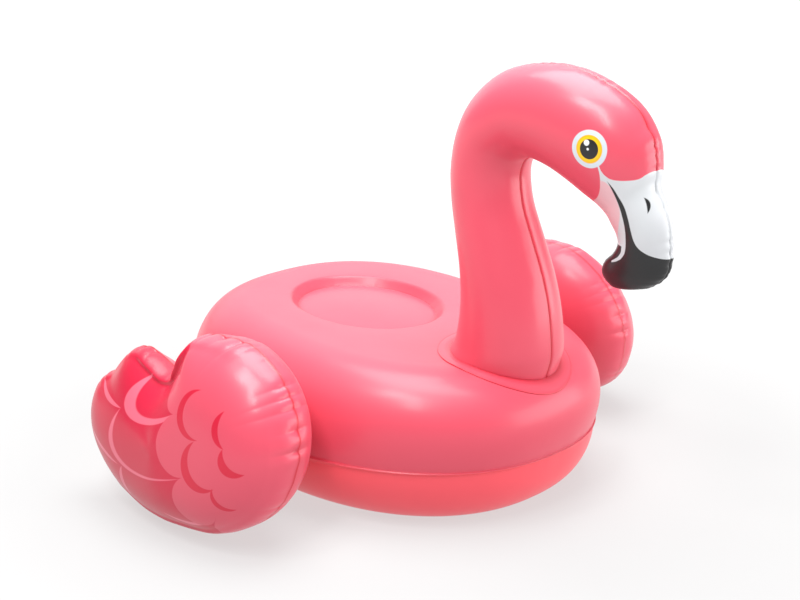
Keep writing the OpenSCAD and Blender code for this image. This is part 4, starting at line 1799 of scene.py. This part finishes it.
@dataclass
class Studio:
    """Pale floor, soft light and the camera."""

    camera_place: Tuple[float, float, float] = (2.2605, -2.3493, 1.4254)
    camera_heading: float = 135.223
    camera_pitch: float = -17.463
    focal_length: float = 68.86
    sensor_width: float = 36.0
    floor_size: float = 60.0
    sky_low: float = 0.30
    sky_high: float = 0.74
    overhead: float = 0.6
    overhead_spread: float = 50.0
    overhead_tilt: float = 4.0
    floor_tones: Tuple[float, float] = (0.17, 0.18)
    glow_distance: float = 1.9
    glow_blend: float = 1.0
    floor_glow: float = 0.60
    boxes: List[Softbox] = field(
        default_factory=lambda: [
            Softbox("wing_strip", -56.0, 58.0, 3.0, 0.5, 42.0, 1.5, (-0.1, -0.6, 0.35)),
            Softbox("head_box", -103.0, 55.0, 2.8, 0.5, 26.0, 0.8, (0.36, -0.1, 0.9)),
            Softbox("top_box", 140.0, 84.0, 2.57, 1.9, 84.0, 1.9),
            Softbox("side_panel", 34.0, 5.0, 4.0, 4.4, 150.0, 2.8),
            Softbox("back_panel", 150.0, 28.0, 4.4, 6.0, 64.0, 3.6),
        ]
    )

    def floor_material(self) -> bpy.types.Material:
        """A matt white floor that fades into a glowing surround.

        Returns:
            The material.
        """
        sheet = NodeSheet("studio_floor")
        cloud = sheet.noise(3.0, 2.0)
        dark, pale = ((tone,) * 3 + (1.0,) for tone in self.floor_tones)
        colour = sheet.mix(cloud, dark, pale)
        where = sheet.add("ShaderNodeTexCoord", output="Object")
        far = sheet.distance(where, (0.0, 0.0, 0.0)).above(
            self.glow_distance, self.glow_blend
        )
        glow = sheet.mix(far, (self.floor_glow,) * 3 + (1.0,), (1.0, 1.0, 1.0, 1.0))
        return sheet.film(
            colour,
            0.9,
            None,
            {
                "Specular IOR Level": 0.0,
                "Emission Color": glow,
                "Emission Strength": 1.0,
            },
        )

    def sky(self) -> bpy.types.World:
        """A white surround that is brighter overhead.

        Returns:
            The world.
        """
        world = bpy.data.worlds.new("studio")
        world.use_nodes = True
        tree = world.node_tree
        where = tree.nodes.new("ShaderNodeTexCoord")
        split = tree.nodes.new("ShaderNodeSeparateXYZ")
        level = tree.nodes.new("ShaderNodeMapRange")
        tree.links.new(where.outputs["Generated"], split.inputs[0])
        tree.links.new(split.outputs[2], level.inputs["Value"])
        level.inputs["To Min"].default_value = self.sky_low
        level.inputs["To Max"].default_value = self.sky_high
        rays = tree.nodes.new("ShaderNodeLightPath")
        seen = tree.nodes.new("ShaderNodeMath")
        seen.operation = "MAXIMUM"
        tree.links.new(level.outputs[0], seen.inputs[0])
        tree.links.new(rays.outputs["Is Camera Ray"], seen.inputs[1])
        tree.links.new(seen.outputs[0], tree.nodes["Background"].inputs[1])
        tree.nodes["Background"].inputs[0].default_value = (1.0, 1.0, 1.0, 1.0)
        return world

    def build(self) -> None:
        """Adds the floor, the world, the lights and the camera."""
        bpy.ops.object.select_all(action="DESELECT")
        bpy.ops.mesh.primitive_plane_add(size=self.floor_size, location=(0.0, 0.0, -0.0005))
        floor = bpy.context.active_object
        floor.name = "studio_floor"
        floor.data.materials.append(self.floor_material())
        bpy.context.scene.world = self.sky()
        for box in self.boxes:
            box.build()
        sun = bpy.data.lights.new("overhead_diffuser", "SUN")
        sun.energy = self.overhead
        sun.angle = math.radians(self.overhead_spread)
        lamp = bpy.data.objects.new("overhead_diffuser", sun)
        lamp.location = (0.0, 0.0, 4.0)
        tilt = math.radians(self.overhead_tilt)
        lamp.rotation_euler = (tilt, tilt, 0.0)
        bpy.context.scene.collection.objects.link(lamp)
        lens = bpy.data.cameras.new("studio_camera")
        lens.lens = self.focal_length
        lens.sensor_width = self.sensor_width
        lens.clip_end = 200.0
        camera = bpy.data.objects.new("studio_camera", lens)
        heading, pitch = math.radians(self.camera_heading), math.radians(self.camera_pitch)
        turn = Matrix.Rotation(heading - math.pi / 2.0, 4, "Z") @ Matrix.Rotation(
            math.pi / 2.0 + pitch, 4, "X"
        )
        camera.matrix_world = Matrix.Translation(self.camera_place) @ turn
        bpy.context.scene.collection.objects.link(camera)
        bpy.context.scene.camera = camera
        bpy.context.scene.view_settings.view_transform = "Standard"


# ------------------------------------------------------------------------ main


PINK = (0.70, 0.074, 0.118, 1.0)
# Painted light: a brighter red copy of the pink film for the lower body panel and the baffle,
# standing in for light glowing through the film on the shaded underside.
UNDERSIDE_GLOW_PINK = (0.90, 0.086, 0.115, 1.0)
SHOULDER_PINK = (0.70, 0.072, 0.120, 1.0)


def main() -> None:
    """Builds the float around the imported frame."""
    Studio().build()
    film = FilmFinish("pink_film", PINK, gloss=0.43, coat=0.3, coat_roughness=0.24).build()
    # Brighter red copy of the pink film: painted glow for the shaded underside.
    underside_glow_film = FilmFinish("pink_film_painted_glow", UNDERSIDE_GLOW_PINK, coat=0.18).build()
    head = HeadPrint("printed_neck_film", PINK).build()
    feathers = FeatherPrint("printed_wing_film", SHOULDER_PINK).build()
    cushion = Cushion()
    shift = -(cushion.rear + cushion.seam_lip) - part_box("body_top_panel")[0][0] / MM
    LOG.info("float middle lies %.2f mm ahead of the body middle", shift)
    neck = Neck(cushion)
    wing = Wing(cushion)
    for panel, material, fill in (
        (cushion.top_panel(), film, 1.0),
        (cushion.bottom_panel(), underside_glow_film, 1.0),
        (cushion.baffle(), underside_glow_film, 0.0),
        (neck.flange(), film, 0.0),
    ):
        finish_piece(panel.build(Side.LEFT, shift), material, panel.node)
    half = neck.half()
    for side, word in ((Side.LEFT, "left"), (Side.RIGHT, "right")):
        piece = half.build(side, shift)
        piece.name = f"neck_{word}_film"
        finish_piece(piece, head, f"neck_{word}_panel")
        for panel, material, slot, fill in (
            (wing.outer_panel(), feathers, Slot.WING, 1.0),
            (wing.inner_panel(), film, Slot.PINK, 1.0),
            (wing.weld_ring(), film, Slot.PINK, 0.0),
        ):
            piece = panel.build(side, shift)
            piece.name = f"{word}_{panel.name}"
            finish_piece(piece, material, f"{word}_{panel.node}")
    Valves(MilkyVinyl().build()).build()


if __name__ == "__main__":
    main()
